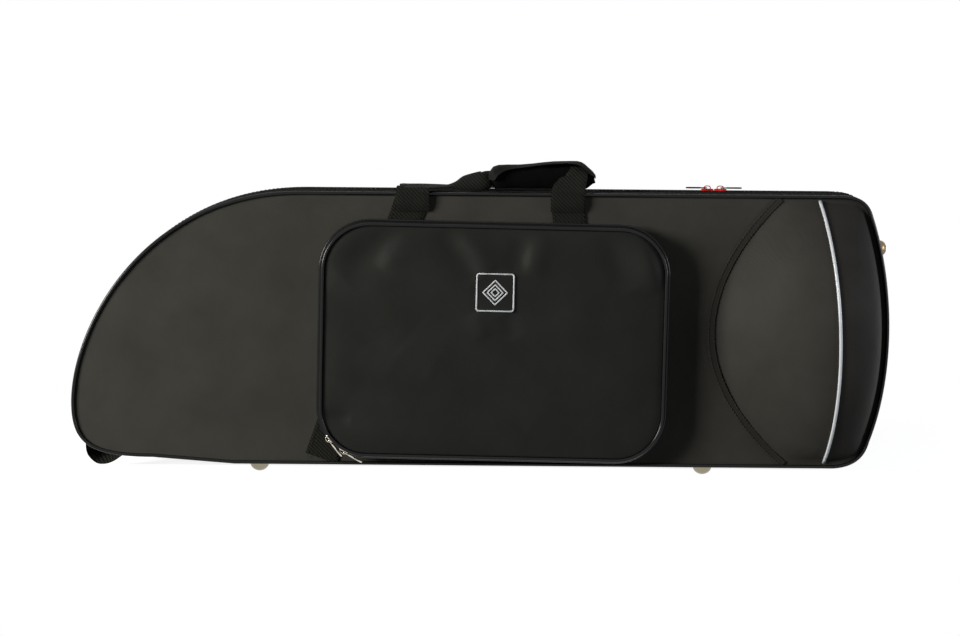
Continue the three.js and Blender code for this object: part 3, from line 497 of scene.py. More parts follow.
def filled(boundary, spacing):
    """Triangles over a closed polygon with a grid of points inside it"""
    boundary = np.asarray(boundary, float)
    low, high = boundary.min(0), boundary.max(0)
    xs, zs = np.arange(low[0], high[0], spacing), np.arange(low[1], high[1], spacing)
    spots = np.array([(x + (k % 2) * spacing / 2, z) for k, z in enumerate(zs) for x in xs])
    inside = np.zeros(len(spots), bool)
    near = np.full(len(spots), 1e9)
    for (ax, az), (bx, bz) in zip(boundary, np.roll(boundary, -1, 0)):
        crosses = (az > spots[:, 1]) != (bz > spots[:, 1])
        with np.errstate(divide="ignore", invalid="ignore"):
            meets = (bx - ax) * (spots[:, 1] - az) / (bz - az) + ax
        inside ^= crosses & (spots[:, 0] < meets)
        d = np.array([bx - ax, bz - az])
        t = np.clip(((spots - (ax, az)) @ d) / max(d @ d, 1e-9), 0, 1)[:, None]
        near = np.minimum(near, np.linalg.norm(spots - ((ax, az) + t * d), axis=1))
    spots = spots[inside & (near > spacing * 0.45)]
    points = [Vector(p) for p in np.concatenate([boundary, spots])]
    edges = [(i, (i + 1) % len(boundary)) for i in range(len(boundary))]
    made = delaunay_2d_cdt(points, edges, [], 1, 1e-5)
    return np.array([tuple(v) for v in made[0]]), [list(f) for f in made[2]]


# Covers: nylon up to the ridge, leathercloth round the bell end

# Profile of the side: how far in from the outline, at which depth
SIDE = [(1.5, -0.4), (1.2, -2.5), (0.5, -8), (0, -14), (-0.3, -22), (-0.5, -32), (-0.4, -42), (-0.2, -52),
        (0, -60), (0.3, -62.4), (1.1, -64.4), (2.1, -65.5), (FACE_INSET, -66)]
GUSSET_EDGE = 65.2


def nylon_cover():
    first, last = STARTS[6], STARTS[1] + len(OUTLINE)
    shape = Shape().grid([ring(inset, y, first, last) for inset, y in SIDE])
    arc = ring(FACE_INSET, 0, first, last)[:, [0, 2]]
    line_z = np.linspace(BOTTOM + FACE_INSET, TOP - FACE_INSET, 62)[1:-1]
    line = at(ridge_x(line_z), line_z)
    flat, faces = filled(np.concatenate([arc, line]), 5)
    x, z = flat.T
    y = -depth(x, z)
    calm = np.clip((np.abs(z - (BOTTOM + TOP) / 2) - 158) / -20, 0, 1)
    y = y - calm * (0.5 * waves(x, z, 150, 1) + 0.15 * waves(x, z, 40, 2) + 0.6)
    return shape.add(at(x, y, z), faces)


def welded(obj, outward=-1):
    """Joins points that meet and turns the faces outward, which is -Y in front and +Y behind"""
    mesh = bmesh.new()
    mesh.from_mesh(obj.data)
    bmesh.ops.remove_doubles(mesh, verts=mesh.verts, dist=2e-5)
    bmesh.ops.recalc_face_normals(mesh, faces=mesh.faces)
    total = sum((f.normal * f.calc_area() for f in mesh.faces), Vector())
    if total.y * outward < 0:
        bmesh.ops.reverse_faces(mesh, faces=mesh.faces)
    mesh.to_mesh(obj.data)
    mesh.free()
    obj.data.shade_smooth()


def end_cover():
    first, last = STARTS[1], STARTS[6]
    shape = Shape().grid([ring(inset, y, first, last) for inset, y in SIDE])
    arc = ring(FACE_INSET, 0, first, last)[:, [0, 2]]
    line_z = np.linspace(arc[0, 1], arc[-1, 1], len(arc))
    ridge = at(ridge_x(line_z) + 0.6, line_z)
    ridge[[0, -1]] = arc[[0, -1]]
    rows = []
    for t in np.sin(np.linspace(0, 1, 22) * np.pi / 2):
        x, z = (ridge + (arc - ridge) * t).T
        rows.append(at(x, -depth(x, z) - 0.25 * waves(x, z, 70, 5) * (1 - t) * t * 4, z))
    return shape.grid(rows)


def covers(shape, name, look, node, slot):
    """A cover on each half, with darker cloth round its side"""
    for obj, outward in zip(shape.pair(name, look, [node], slot, sharp=None), (-1, 1)):
        welded(obj, outward)
        obj.data.materials.append(GUSSET.material)
        for face in obj.data.polygons:
            face.material_index = int(abs(face.center.y) < GUSSET_EDGE / 1000)


covers(nylon_cover(), "nylon", NYLON, "cover", "nylon")
covers(end_cover(), "end_panel", LEATHER, "end_cover", "leather")

# Piping, seams and zips that follow the outline

def face_piping():
    piping = Shape().sweep(ring(2.26, -68.2), (0, 1, 0), circle(PIPING_RADIUS, 10), closed=True)
    piping.pair("piping", TRIM, ["edge_piping"], "trim", sharp=None)
    z = np.linspace(BOTTOM + 7, TOP - 7, 70)
    ridge = at(ridge_x(z) + 0.3, -depth(ridge_x(z) - 0.01, z) - 1.6, z)
    white = Shape().sweep(ridge, (1, 0, 0), circle(1.9, 10))
    white.pair("ridge_piping", WHITE, ["end_piping"], "white trim", sharp=None)


face_piping()


def stitched(name, look, slot, paths, out=(0, -1, 0), pitch=4.5, gap=1.5, width=0.4):
    """Rows of short threads along paths, on both halves; out is the way they stand out"""
    threads, out = Shape(), np.array(out)
    section = [circle(width * share, 5) for share in (0.35, 0.85, 1, 0.85, 0.35)]
    for path in paths:
        total = np.linalg.norm(np.diff(path, axis=0), axis=1).sum()
        ends = evenly(path, 2 * max(2, int(total / pitch)) + 1)
        for a, b in zip(ends[:-1:2], ends[2::2]):
            b = a + (b - a) * ((pitch - gap) / pitch)
            middle = (a + b) / 2 + out * width * 0.7
            line = [a, (a + middle) / 2 + out * 0.15, middle, (b + middle) / 2 + out * 0.15, b]
            threads.sweep(line, np.cross(unit(b - a), out), section)
    threads.pair(name, look, [], slot, sharp=None)


def curved_seam():
    """A felled seam with two rows of stitches, just outside the bulge"""
    z = np.linspace(BOTTOM + 4.5, TOP - 4.5, 90)
    middle = at(seam_x(z) - 5.1, -SLIM - 0.9, z)
    slope = np.gradient(seam_x(z), z)
    across = unit(at(1, 0, -slope))
    shape = Shape().sweep(middle, across, strap_section(9, 1.4))
    shape.pair("curved_seam", SEAM, ["curved_seam"], "nylon")
    paths = [middle + across * shift - (0, 0.8, 0) for shift in (-3.2, 3.2)]
    stitched("curved_seam_thread", SEAM_THREAD, "nylon", paths, pitch=4.2, gap=1.2, width=0.55)


curved_seam()

ZIP_FIRST, ZIP_LAST = STARTS[2] + 10, STARTS[8] + int((STARTS[9] - STARTS[8]) * 0.5)


def main_zip():
    """On each half a tape, a row of teeth and a line of stitches"""
    profile = [(0.9, -0.35), (0.5, -0.4), (0.1, -3), (-0.6, -5.5), (-1.0, -8.6), (-0.9, -9.6), (-0.2, -9.8),
               (0.6, -9.6)]
    rows = [ring(inset, y, ZIP_FIRST, ZIP_LAST) for inset, y in profile]
    Shape().grid(rows).pair("zip_tape", ZIP, ["zip_tape"], "zip")
    line = evenly(ring(-0.6, -1.2, ZIP_FIRST, ZIP_LAST), 620)
    along = unit(np.gradient(line, axis=0))
    out = np.cross(along, (0, 1, 0))
    teeth = Shape()
    tooth = [(-0.6, -0.8), (0.6, -0.8), (0.6, 0.6), (0, 0.95), (-0.6, 0.6)]
    for p, a, o in zip(line, along, out):
        ends = [p + (0, 0.85, 0), p + (0, -1.3, 0)]
        teeth.solid([[e + a * u + o * v for u, v in tooth] for e in ends])
    teeth.pair("zip_teeth", TEETH, [], "zip", sharp=20)
    stitched("zip_thread", THREAD, "zip", [ring(-1.35, -7.6, ZIP_FIRST, ZIP_LAST)], (0, -0.4, 0.4), 5, 1.6)


main_zip()

# The rims that show when the case is open, and the padded linings

RIM = [(2.4, -12), (2.0, -4), (2.3, -1.6), (3.4, -0.7), (6, -0.6), (9.5, -1.0), (12.5, -2.2),
       (14.6, -4.2), (15.6, -7), (15.8, -12)]
Shape().grid([ring(inset, y) for inset, y in RIM], around=True).pair("rim", PLUSH, ["shell"], "plush")


def swell(obj, cap, pressure=4.0, frames=10):
    """Cloth simulation under a little pressure; no point moves further than the cap, in millimetres"""
    blower = obj.modifiers.new("swell", "CLOTH")
    settings = blower.settings
    settings.use_pressure, settings.uniform_pressure_force = True, pressure
    settings.effector_weights.gravity = 0
    blower.collision_settings.use_collision = False
    for number in range(1, frames + 1):
        scene.frame_set(number)
    blown = obj.evaluated_get(bpy.context.evaluated_depsgraph_get()).data
    count = len(obj.data.vertices)
    start, end = np.empty(count * 3, np.float32), np.empty(count * 3, np.float32)
    obj.data.vertices.foreach_get("co", start)
    blown.vertices.foreach_get("co", end)
    step = (end - start).reshape(-1, 3)
    far = np.linalg.norm(step, axis=1, keepdims=True)
    step *= np.minimum(1, cap / 1000 / np.maximum(far, 1e-9))
    obj.modifiers.remove(blower)
    scene.frame_set(1)
    obj.data.vertices.foreach_set("co", start + step.ravel())
    obj.data.update()
    smooth = obj.modifiers.new("smooth", "SUBSURF")
    smooth.levels = smooth.render_levels = 1
    bake(obj)


def copied(node, name, look):
    """A copy of a node's mesh, with a look of its own"""
    obj = linked(name, frame["nodes"][node].data.copy())
    obj.data.materials.clear()
    obj.data.materials.append(look.material)
    return obj


def softened(node, name, look, body, voxel, passes, cap=0.0):
    """A padded copy of a node: remeshed, its edges rounded, and blown up a little where it has a cap"""
    obj = copied(node, name, look)
    remesh = obj.modifiers.new("remesh", "REMESH")
    remesh.mode, remesh.voxel_size = "VOXEL", voxel / 1000
    smooth = obj.modifiers.new("soften", "SMOOTH")
    smooth.factor, smooth.iterations = 0.5, passes
    bake(obj)
    if cap:
        swell(obj, cap)
    obj.data.shade_smooth()
    settle(obj, body, [node])


softened("lid_insert", "lid_lining", PLUSH, "lid", voxel=6.0, passes=3, cap=1.6)
softened("base_insert", "base_lining", PLUSH, "base", voxel=6.0, passes=3, cap=1.6)
softened("accessory_lid", "accessory_flap_pad", PLUSH, "accessory_flap", voxel=3.0, passes=2,
         cap=1.2)
softened("mouthpiece_block", "mouthpiece_foam", FOAM, "base", voxel=1.5, passes=3)
softened("bell_saddle", "saddle_foam", FOAM, "base", voxel=1.5, passes=3)


# Half of the hinge cloth's profile: Y, and how far above the bottom edge
HINGE_HALF = [(14, 0.5), (13.2, -0.6), (10, -0.9), (6, -1.1), (3, -1.3)]


def hinge_cloth():
    """One strip of cloth under the hinge edge, sewn to both halves"""
    x = np.linspace(to_x(0.2) + 2, to_x(0.935) - 2, 140)
    profile = [(-y, z) for y, z in HINGE_HALF] + [(0, -1.4)] + HINGE_HALF[::-1]
    rows = [at(x, y, BOTTOM + z) for y, z in profile]
    return Shape().grid(rows).make("hinge_cloth", NYLON, None, ["lid_hinge_tape", "base_hinge_tape"], "nylon")


hinge = hinge_cloth()
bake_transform(hinge)

# Straps, feet and the loop under the toe

# Where the straps meet the top edge and the bottom edge, as shares of the length
STRAP_TOPS, STRAP_BOTTOMS = (0.4167, 0.605), (0.3065, 0.64)
STRAP_LEFT, STRAP_RIGHT = map(to_x, STRAP_TOPS)


def face_straps():
    paths = []
    z = np.linspace(TOP - 7.5, BOTTOM + 7.5, 60)
    for side, top, bottom in zip(("left", "right"), STRAP_TOPS, STRAP_BOTTOMS):
        t = (z - z[0]) / (z[-1] - z[0])
        x = to_x(top) + (to_x(bottom) - to_x(top)) * t
        path = at(x, -SLIM - 1.5 - 0.25 * np.sin(t * 40), z)
        shape = Shape().sweep(path, (1, 0, 0), strap_section(WEBBING_WIDTH, 2))
        shape.pair(f"{side}_webbing", WEBBING, [f"{side}_strap"], "webbing")
        paths += [path + (shift, -1.2, 0) for shift in (-17, 17)]
    stitched("strap_thread", THREAD, "webbing", paths)


face_straps()

# Radius and height of a stud, from its tip up
DOME = [(1.6, 0.05), (3.0, 0.35), (5.2, 1.15), (7.2, 2.3), (9.0, 3.9), (10.3, 5.8), (11.1, 7.8),
        (11.5, 10), (11.5, 11.4), (11.9, 11.7), (11.9, 12)]


def stud(scale=1.0):
    return Shape().solid([[(x, y, h * scale) for x, y in circle(r * scale, 36)] for r, h in DOME])


def studs():
    for side, share in (("left", 0.2285), ("right", 0.7767)):
        shape = stud().moved(lambda p: p + (to_x(share), FOOT_Y, 0))
        shape.pair(f"{side}_stud", STUD, [f"{side}_foot"], "nickel", sharp=50)
    place = (END_FOOT_X, FOOT_Y, to_z(0.804))
    shape = stud(0.83).moved(lambda p: at(-p[:, 2], p[:, 1], p[:, 0]) + place)
    shape.pair("end_stud", BRASS, ["end_foot"], "nickel", sharp=50)


studs()

TOE_LOOP = [(-468, 0, 50), (-468.4, 0, 30), (-467.8, 0, 20.2), (-464.3, 0, 13), (-456, 0, 6),
            (-446, 0, 5.2), (-437, 0, 8), (-428, 0, 14), (-419, 0, 22)]
TOE_Y, TOE_WIDTH, TOE_LEAN = -24.5, 25, 0.55


def toe_loop():
    """A loop of webbing that leans more the nearer it is to its middle, about its front edge"""
    path = through(TOE_LOOP, 60)
    along = unit(np.gradient(path, axis=0))
    share = TOE_LEAN * np.sin(np.linspace(0, np.pi, len(path)))[:, None]
    lean = share * at(-along[:, 2], 0, along[:, 0])
    path = path + (0, TOE_Y, 0) + TOE_WIDTH / 2 * lean
    shape = Shape().sweep(path, lean + (0, 1, 0), strap_section(TOE_WIDTH, 2))
    shape.make("toe_loop", WEBBING, "lid", ["lid_corner_loop"], "webbing")


toe_loop()

# The front pocket


def turned(points, angle):
    """Points turned about Y, clockwise seen from the front"""
    x, y, z = points.T
    c, s = math.cos(angle), math.sin(angle)
    return at(x * c + z * s, y, z * c - x * s)


def askew(points):
    """Turns pocket pieces about the pocket's middle"""
    middle = (POCKET_X, 0, POCKET_Z)
    return turned(points - middle, POCKET_TILT) + middle


CORNER_X, CORNER_Z = POCKET_WIDTH / 2 - POCKET_CORNER, POCKET_HEIGHT / 2 - POCKET_CORNER


def rounded(middle, corner_x, corner_z, radius, steps):
    """Quarter arcs about four points that stand this far from the middle, as points in X and Z"""
    points = []
    for sx, sz, quarter in ((1, -1, 3), (1, 1, 0), (-1, 1, 1), (-1, -1, 2)):
        x, z = middle[0] + sx * corner_x, middle[1] + sz * corner_z
        for k in range(steps + 1):
            a = (quarter + k / steps) * math.pi / 2
            points.append((x + radius * math.cos(a), z + radius * math.sin(a)))
    return np.array(points)


def pocket_outline(outset):
    points = rounded((POCKET_X, POCKET_Z), CORNER_X, CORNER_Z, POCKET_CORNER + outset, 14)
    return evenly(points, 260, 2, closed=True)


def pocket_ring(outset, y):
    return at_y(pocket_outline(outset), y)


def pocket_band(profile, name, look, node, slot):
    shape = Shape().grid([pocket_ring(outset, y) for outset, y in profile], around=True)
    shape.moved(askew).make(name, look, "lid", [node], slot)


def pocket_piping(name, outset, y, radius, body, nodes):
    shape = Shape().sweep(pocket_ring(outset, y), (0, 1, 0), circle(radius, 10), closed=True)
    shape.moved(askew).make(name, TRIM, body, nodes, "trim", sharp=None)


def pocket_pieces():
    wall = [(0.2, -66.3), (1.6, -67.6), (3.2, -70.5), (4.2, -74), (4.6, -78), (4.4, -81)]
    pocket_band(wall, "pocket_wall", PANEL, "pocket_side_wall", "coated fabric")
    pocket_piping("pocket_rear_piping", 5.3, -82.4, 1.5, "lid", [])
    tape = [(4.4, -83), (4.8, -84.4), (4.3, -86.6), (3.2, -87.4), (3.2, -88.8), (3.9, -89.6),
            (3.0, -92.2), (0.8, -93.4)]
    pocket_band(tape, "pocket_zip_tape", ZIP, "pocket_zip", "zip")
    pocket_coil()
    pocket_piping("pocket_edge", 1.3, -96.2, PIPING_RADIUS, "pocket_flap", ["pocket_piping"])


def pocket_coil():
    """The zip's coil, in short turns that lean to and fro, left out along the hinge"""
    coil = Shape()
    for k, p in enumerate(evenly(pocket_ring(3.6, -88.1), 420, closed=True)[:-1]):
        if p[2] < POCKET_Z - 128 and abs(p[0] - POCKET_X) < 140:
            continue
        out = unit(p - (np.clip(p[0], -129, 160), p[1], np.clip(p[2], 80, 241)))
        along = np.cross(out, (0, 1, 0))
        reach = np.array([0, 1.5, 0]) - along * (0.35 if k % 2 else -0.35)
        coil.sweep([p - reach, p + out * 0.7, p + reach], along, circle(0.5, 5))
    coil.moved(askew).make("pocket_zip_coil", TEETH, "lid", [], "zip", sharp=None)


pocket_pieces()


def folds(x, z, lines):
    """Raised or sunk folds: each runs from one point to another with a width and a height"""
    total = np.zeros_like(x)
    for x0, z0, x1, z1, width, height in lines:
        d = np.array([x1 - x0, z1 - z0])
        length = np.hypot(*d)
        t = ((x - x0) * d[0] + (z - z0) * d[1]) / length ** 2
        off = ((x - x0) * -d[1] + (z - z0) * d[0]) / length
        fade = np.clip(1 - (np.abs(t - 0.5) * 2) ** 3, 0, 1)
        total += height * fade * np.exp(-(off / (width * 1.25)) ** 2)
    return total


# Folds of the pocket's front: from X and Z to X and Z, width, height
PANEL_FOLDS = [
    (-92, 300, -160, 232, 17, -3.4), (-84, 298, -112, 240, 13, 1.6), (-150, 296, -190, 250, 12, 1.0),
    (-50, 296, -2, 236, 12, -2.6), (-30, 296, 10, 240, 11, 2.2), (48, 296, 40, 238, 12, -2.2),
    (70, 296, 56, 236, 12, 2.2), (140, 298, 172, 224, 13, -2.4), (184, 292, 206, 222, 11, 3.0),
    (30, 196, 40, 166, 9, -1.2), (-8, 196, 6, 166, 9, 1.0), (-180, 216, -92, 146, 20, -1.6),
    (-176, 246, -78, 172, 20, 1.6), (-194, 73, -148, 67, 6, -1.6), (-52, 290, 46, 292, 12, -1.2),
    (-182, 56, -110, 116, 22, -1.2), (-60, 120, 60, 60, 36, -1.0), (90, 200, 190, 90, 36, 1.0),
]


def panel_y(x, z):
    """Where the pocket's front stands, before it is turned askew"""
    dx, dz = np.abs(x - POCKET_X), np.abs(z - POCKET_Z)
    edge_x, edge_z = POCKET_WIDTH / 2 - 1 - dx, POCKET_HEIGHT / 2 - 1 - dz
    near = np.minimum(edge_x, edge_z)
    corner = POCKET_CORNER
    cx, cz = np.maximum(corner - edge_x, 0), np.maximum(corner - edge_z, 0)
    near = np.where((cx > 0) & (cz > 0), corner - np.hypot(cx, cz), near)
    rise = 1 - np.exp(-np.maximum(near, 0) / 13)
    crown = (1 - (dx / 199) ** 2) * (1 - (dz / 135) ** 2)
    hang = 1.9 * folds(x, z, PANEL_FOLDS) + 0.5 * waves(x, z, 130, 11) + 0.15 * waves(x, z, 45, 12)
    return -94.5 - rise * (2.4 + 8 * crown + hang)


def on_panel(flat, lift):
    x, z = np.asarray(flat).T
    return at(x, panel_y(x, z) - lift, z)


def pocket_panel():
    flat, faces = filled(pocket_outline(-1.0), 3.0)
    shape = Shape().add(on_panel(flat, 0), faces).moved(askew)
    obj = shape.make("pocket_front", PANEL, "pocket_flap", ["pocket_panel"], "coated fabric", sharp=None)
    welded(obj)


pocket_panel()


def pocket_hinge_cloth():
    """The strip that joins the front to the pocket's floor, along its straight lower edge"""
    x = np.linspace(POCKET_X - CORNER_X + 2, POCKET_X + CORNER_X - 2, 60)
    path = [(-86.9, 26.9), (-90.5, 26.4), (-92, 25.6), (-93, 25), (-93.5, 24.9), (-94, 24.9),
            (-95.2, 25.4), (-96.4, 26.6)]
    rows = [at(x, y, z) for y, z in path]
    strip = Shape().grid(rows).moved(askew).make("pocket_hinge_cloth", PANEL, slot="coated fabric")
    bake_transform(strip)


pocket_hinge_cloth()


def badge_outline(half, corner):
    return rounded(BADGE, half - corner, half - corner, corner, 6)


def badge():
    """A square patch with a plain woven frame and diamonds of raised thread"""
    patch = badge_outline(22.6, 3.2)
    flat, faces = filled(patch, 3.0)
    shape = Shape().add(on_panel(flat, 1.1), faces)
    shape.add(on_panel(flat, -0.4), [f[::-1] for f in faces])
    rim = evenly(patch, 120, 2, closed=True)
    shape.grid([on_panel(rim, 1.1), on_panel(rim, -0.4)], around=True)
    shape.moved(askew).make("badge_patch", PANEL, "pocket_flap", ["pocket_badge"], "webbing")
    thread = Shape()
    lines = [(evenly(badge_outline(21.4, 2.6), 120, 2, closed=True), 0.95)]
    for size in (14, 9, 4.5):
        corners = np.array([(size, 0), (0, size), (-size, 0), (0, -size)]) + BADGE
        lines.append((evenly(corners, 60, 2, closed=True), 0.85))
    for path, radius in lines:
        thread.sweep(on_panel(path, 1.3), (0, 1, 0), circle(radius, 8), closed=True)
    thread.moved(askew).make("badge_thread", SILVER_THREAD, "pocket_flap", [], "webbing", sharp=None)


badge()

# Handles

def folded_strap(stations, count, way=1):
    """A strap through stations of place, direction across, share of its width, and curl"""
    fine = through([[*place, *across, share, bend] for place, across, share, bend in stations], count)
    sections = []
    for share, bend in np.clip(fine[:, 6:], 0, (1, 5)):
        chord = math.sin(bend / 2) / (bend / 2) if bend > 0.01 else 1
        sections.append(strap_section(WEBBING_WIDTH * share / chord, 2.4, way * bend))
    return Shape().sweep(fine[:, :3], fine[:, 3:6], np.array(sections))


def leg(x, way, drop, across=1):
    """Stations on the front face, way -1, or the back, way 1, up to a drop below the top edge"""
    spots = ((69.6, 22), (72.5, 14), (72.9, drop))
    return [((x, way * y, TOP - down), (across, 0, 0), 1, 0) for y, down in spots]


def front_handle():
    x, z, right = STRAP_LEFT, TOP, STRAP_RIGHT
    stations = leg(x, -1, 3) + [
        ((x + 1, -71.4, z + 2.6), (1, 0, 0), 1, 0), ((x + 5, -64, z + 4.2), (0.95, -0.25, 0), 0.97, 0.2),
        ((x + 20, -53, z + 4.3), (0.55, -0.83, 0), 0.8, 0.3),
        ((x + 38, -46, z + 4.6), (0.1, -1, 0), 0.66, 0.5),
        ((-30, -44.5, z + 6.2), (0, -1, -0.25), 0.54, 1.2),
        ((-19, -44, z + 9.2), (0, -0.7, -0.7), 0.57, 1.8),
        ((-8, -44, z + 10.6), (0, -0.45, -0.9), 0.6, 2.2),
        ((3, -44, z + 12.6), (0, -0.35, -0.95), 0.6, 2.4),
        ((16, -42, 350), (0, -0.3, -0.95), 0.42, 2.4), ((92, -43, 351), (0, -0.3, -0.95), 0.42, 2.4),
        ((103, -49, 355), (-0.5, -0.35, -0.8), 0.6, 1.4),
        ((109.5, -58, 353), (-0.9, -0.15, -0.4), 0.76, 0.7),
        ((right + 5.5, -66, 346), (-0.98, -0.05, -0.2), 0.88, 0.4),
        ((right + 1.7, -72.7, z + 4), (-1, 0, -0.05), 0.97, 0.1),
    ] + leg(right, -1, 4.4, -1)[::-1]
    shape = folded_strap(stations, 190, -1)
    shape.make("front_webbing", WEBBING, "front_grip", ["front_handle"], "webbing")


def rear_half(x, s, flat=TOP + 3.1):
    """Stations of the rear handle up to its middle; s is 1 on the left, -1 on the right"""
    return leg(x, 1, 2.2) + [
        ((x, 70.2, flat), (1, 0, 0), 1, 0), ((x + s * 3.9, 56.4, flat), (1, 0.25 * s, 0), 0.9, 0.2),
        ((x + s * 19.5, 36, flat), (1, 0.8 * s, 0), 0.75, 0.4),
        ((x + s * 54.6, 14, flat), (0, s, 0), 0.6, 0.5)]


def rear_handle():
    left, right = rear_half(STRAP_LEFT, 1), rear_half(STRAP_RIGHT, -1)
    back = [(place, tuple(-np.array(across)), *more) for place, across, *more in right[::-1]]
    shape = folded_strap(left + back, 150)
    shape.make("rear_webbing", WEBBING, "rear_grip", ["rear_handle"], "webbing")


# The sleeve's ends, its top edge over X, and the angle its lip reaches over X
WRAP_START, WRAP_END = 8.8, 134
WRAP_TOP = [(8.8, 354), (10.5, 359), (14, 363.5), (20, 365.5), (30, 366), (45, 366.2), (60, 367.5),
            (72, 369), (85, 370.3), (105, 370.9), (113, 370.8), (118, 369.5), (122, 367), (127, 362.5),
            (131, 359), (134, 355)]
WRAP_LIP = [(8.8, 210), (14, 196), (20, 172), (28, 154), (40, 142), (60, 134), (100, 130), (112, 136),
            (124, 158), (134, 175)]


def round_form(angles, power=0.85):
    """A circle pressed a little towards a square"""
    form = at(np.cos(angles), np.sin(angles))
    return np.sign(form) * np.abs(form) ** power


def bell(off, width):
    """A bell curve that falls from 1"""
    return np.exp(-((off / width) ** 2))


def grip_wrap():
    """The padded sleeve round the front loop, open along its front, where its lip curls back"""
    rows = []
    share = np.linspace(0, 1, 44)
    flare = 1 + 0.10 * np.clip((share - 0.9) / 0.1, 0, 1)[:, None] ** 2
    thick = 2.6 * np.clip((0.5 - np.abs(share - 0.5)) * 14 + 0.35, 0, 1)
    for value in np.linspace(WRAP_START, WRAP_END, 90):
        left, right = value - WRAP_START, WRAP_END - value
        top = np.interp(value, *zip(*WRAP_TOP))
        lip = np.interp(value, *zip(*WRAP_LIP))
        low = 337 + 9 * bell(left, 5) + 8 * bell(right, 8)
        mid, tall = (top + low) / 2, (top - low) / 2
        deep = 16.8 * (1 - 0.4 * bell(left, 4)) + 0.4 * math.sin(value / 7)
        form = round_form(np.radians(262 + (98 + lip) * share))
        outer = form * (deep, tall) * flare
        inner = outer - unit(form) * thick[:, None]
        rows.append([(value, -44 + a, mid + b) for a, b in np.concatenate([outer, inner[::-1]])])
    obj = Shape().solid(rows).make("grip_pad", WRAP, "front_grip", ["grip_wrap"], "coated fabric")


def grip_lining_painted_shade():
    """The roll of lining inside the sleeve, near-black as painted shade for the sleeve's open mouth"""
    rows = []
    for value in np.linspace(12, 127, 50):
        end = 1 - 0.35 * bell(value - 12, 4) - 0.35 * bell(127 - value, 5)
        form = round_form(np.linspace(0, 2 * np.pi, 28, endpoint=False)) * (11.5 * end, 12.6 * end)
        rows.append([(value, -43 + a, 351 + b + 0.5 * math.sin(value / 5)) for a, b in form])
    # The roll's near-black look is painted shade inside the sleeve
    roll = Shape().solid(rows).make("grip_lining_painted_shade", PILE_PAINTED_SHADE, "front_grip", [], "coated fabric", sharp=60)


front_handle()
rear_handle()
grip_wrap()
grip_lining_painted_shade()

# Small fittings that keep their own shape


def bevelled(node, name, look, body, width=0.3):
    """A copy of a hard fitting with its edges eased"""
    obj = copied(node, name, look)
    weld = obj.modifiers.new("weld", "WELD")
    weld.merge_threshold = 1e-5
    ease = obj.modifiers.new("ease", "BEVEL")
    ease.width, ease.segments, ease.angle_limit = width / 1000, 2, math.radians(35)
    bake(obj)
    obj.data.shade_smooth()
    obj.data.set_sharp_from_angle(angle=math.radians(35))
    settle(obj, body, [node])


for i in ("1", "2"):
    bevelled(f"slide_clip_{i}", f"turn_clip_{i}", BLACK, f"slide_clip_{i}")
    bevelled(f"clip_screw_{i}", f"turn_screw_{i}", NICKEL, "lid", 0.15)

SLIDER_PLAN = [(6.2, 2.6), (5.2, 4.4), (3.4, 5), (1, 4.9), (-0.6, 3.9), (-2.2, 2.7), (-4.6, 2.5),
               (-6.1, 1.9)]
PULL_HEIGHT, PULL_INSET = 3.9, 0.8


def fit(shape, turn, place, name, look, body, slot, sharp=50):
    """Puts a piece drawn at the origin, track along X and up along Z, in place on its own body"""
    shape.moved(lambda p: turned(p, turn) + place).make(name, look, body, [body], slot, sharp=sharp)


def slider(scale=1.0):
    """A slider's body with the arched bail that holds its pull"""
    plan = np.array(SLIDER_PLAN + [(x, -w) for x, w in SLIDER_PLAN[::-1]])
    levels = [(0.86, 0.15), (0.98, 0.4), (1, 0.9), (0.9, 1.05), (0.9, 1.45), (1, 1.6), (1, 2.2),
              (0.93, 2.65), (0.8, 2.85), (0.4, 2.95)]
    shape = Shape().solid([[(x * k * scale, y * k * scale, z) for x, y in plan] for k, z in levels])
    arch = through([(-3.4, 0, 2.2), (-3.3, 0, 4.4), (-2.2, 0, 5.8), (0, 0, 6.15), (2.2, 0, 5.8),
                    (3.3, 0, 4.4), (3.4, 0, 2.2)], 26)
    return shape.sweep(arch, (0, 1, 0), circle(1.15, 10, 0.5))


def pull(length=25.0, tip=3.0):
    """A ring that hangs in the bail and a tab that widens to a rounded end"""
    shape = Shape()
    loop = [(0, -1.4), (0, 1.4), (0.7, 2.3), (3, 2.5), (5.4, 2.3), (6.3, 1.4), (6.3, -1.4), (5.4, -2.3),
            (3, -2.5), (0.7, -2.3)]
    loop = evenly(np.array([(x, y, 0) for x, y in loop]), 40, closed=True)
    shape.sweep(loop, (0, 0, 1), circle(0.62, 8), closed=True)
    rows = []
    end = length - tip + tip * np.sin(np.linspace(0.25, 1, 6) * np.pi / 2)
    for x in np.concatenate([[6, 6.4, 7.2], np.linspace(8.5, length - tip, 12), end]):
        taper = math.sqrt(max(1 - max((x - length + 3.02) / 3.02, 0) ** 2, 0))
        half = (2.1 + 1.1 * np.clip((x - 8) / 10, 0, 1)) * max(taper, 0.12)
        thick = 0.85 * min(1, 0.4 + (x - 6) / 2) * (0.55 + 0.45 * taper)
        rim = 0.3 * taper
        side = [(half, 0), (half - 0.15 * half, thick), (half * 0.6, thick + rim * 0.2),
                (half * 0.4, thick - rim), (0, thick - rim)]
        upper = side + [(-y, z) for y, z in side[-2::-1]]
        rows.append([(x, y, z) for y, z in upper + [(y, -z) for y, z in upper[-2:0:-1]]])
    return shape.solid(rows)


def main_sliders():
    for k, share, way, turn in ((1, 0.7813, -1, math.pi), (2, 0.7975, 1, 0)):
        seat = np.array([to_x(share), 0, TOP + 1.1])
        bail = seat + (way * PULL_INSET, 0, PULL_HEIGHT)
        body = slider(1.1).moved(lambda p: p * (1.1 * way, way, 1))
        fit(body, 0, seat, f"red_slider_{k}", RED, f"main_slider_{k}", "red metal", sharp=35)
        fit(pull(), turn, bail, f"black_pull_{k}", BLACK, f"main_pull_{k}", "black plastic")


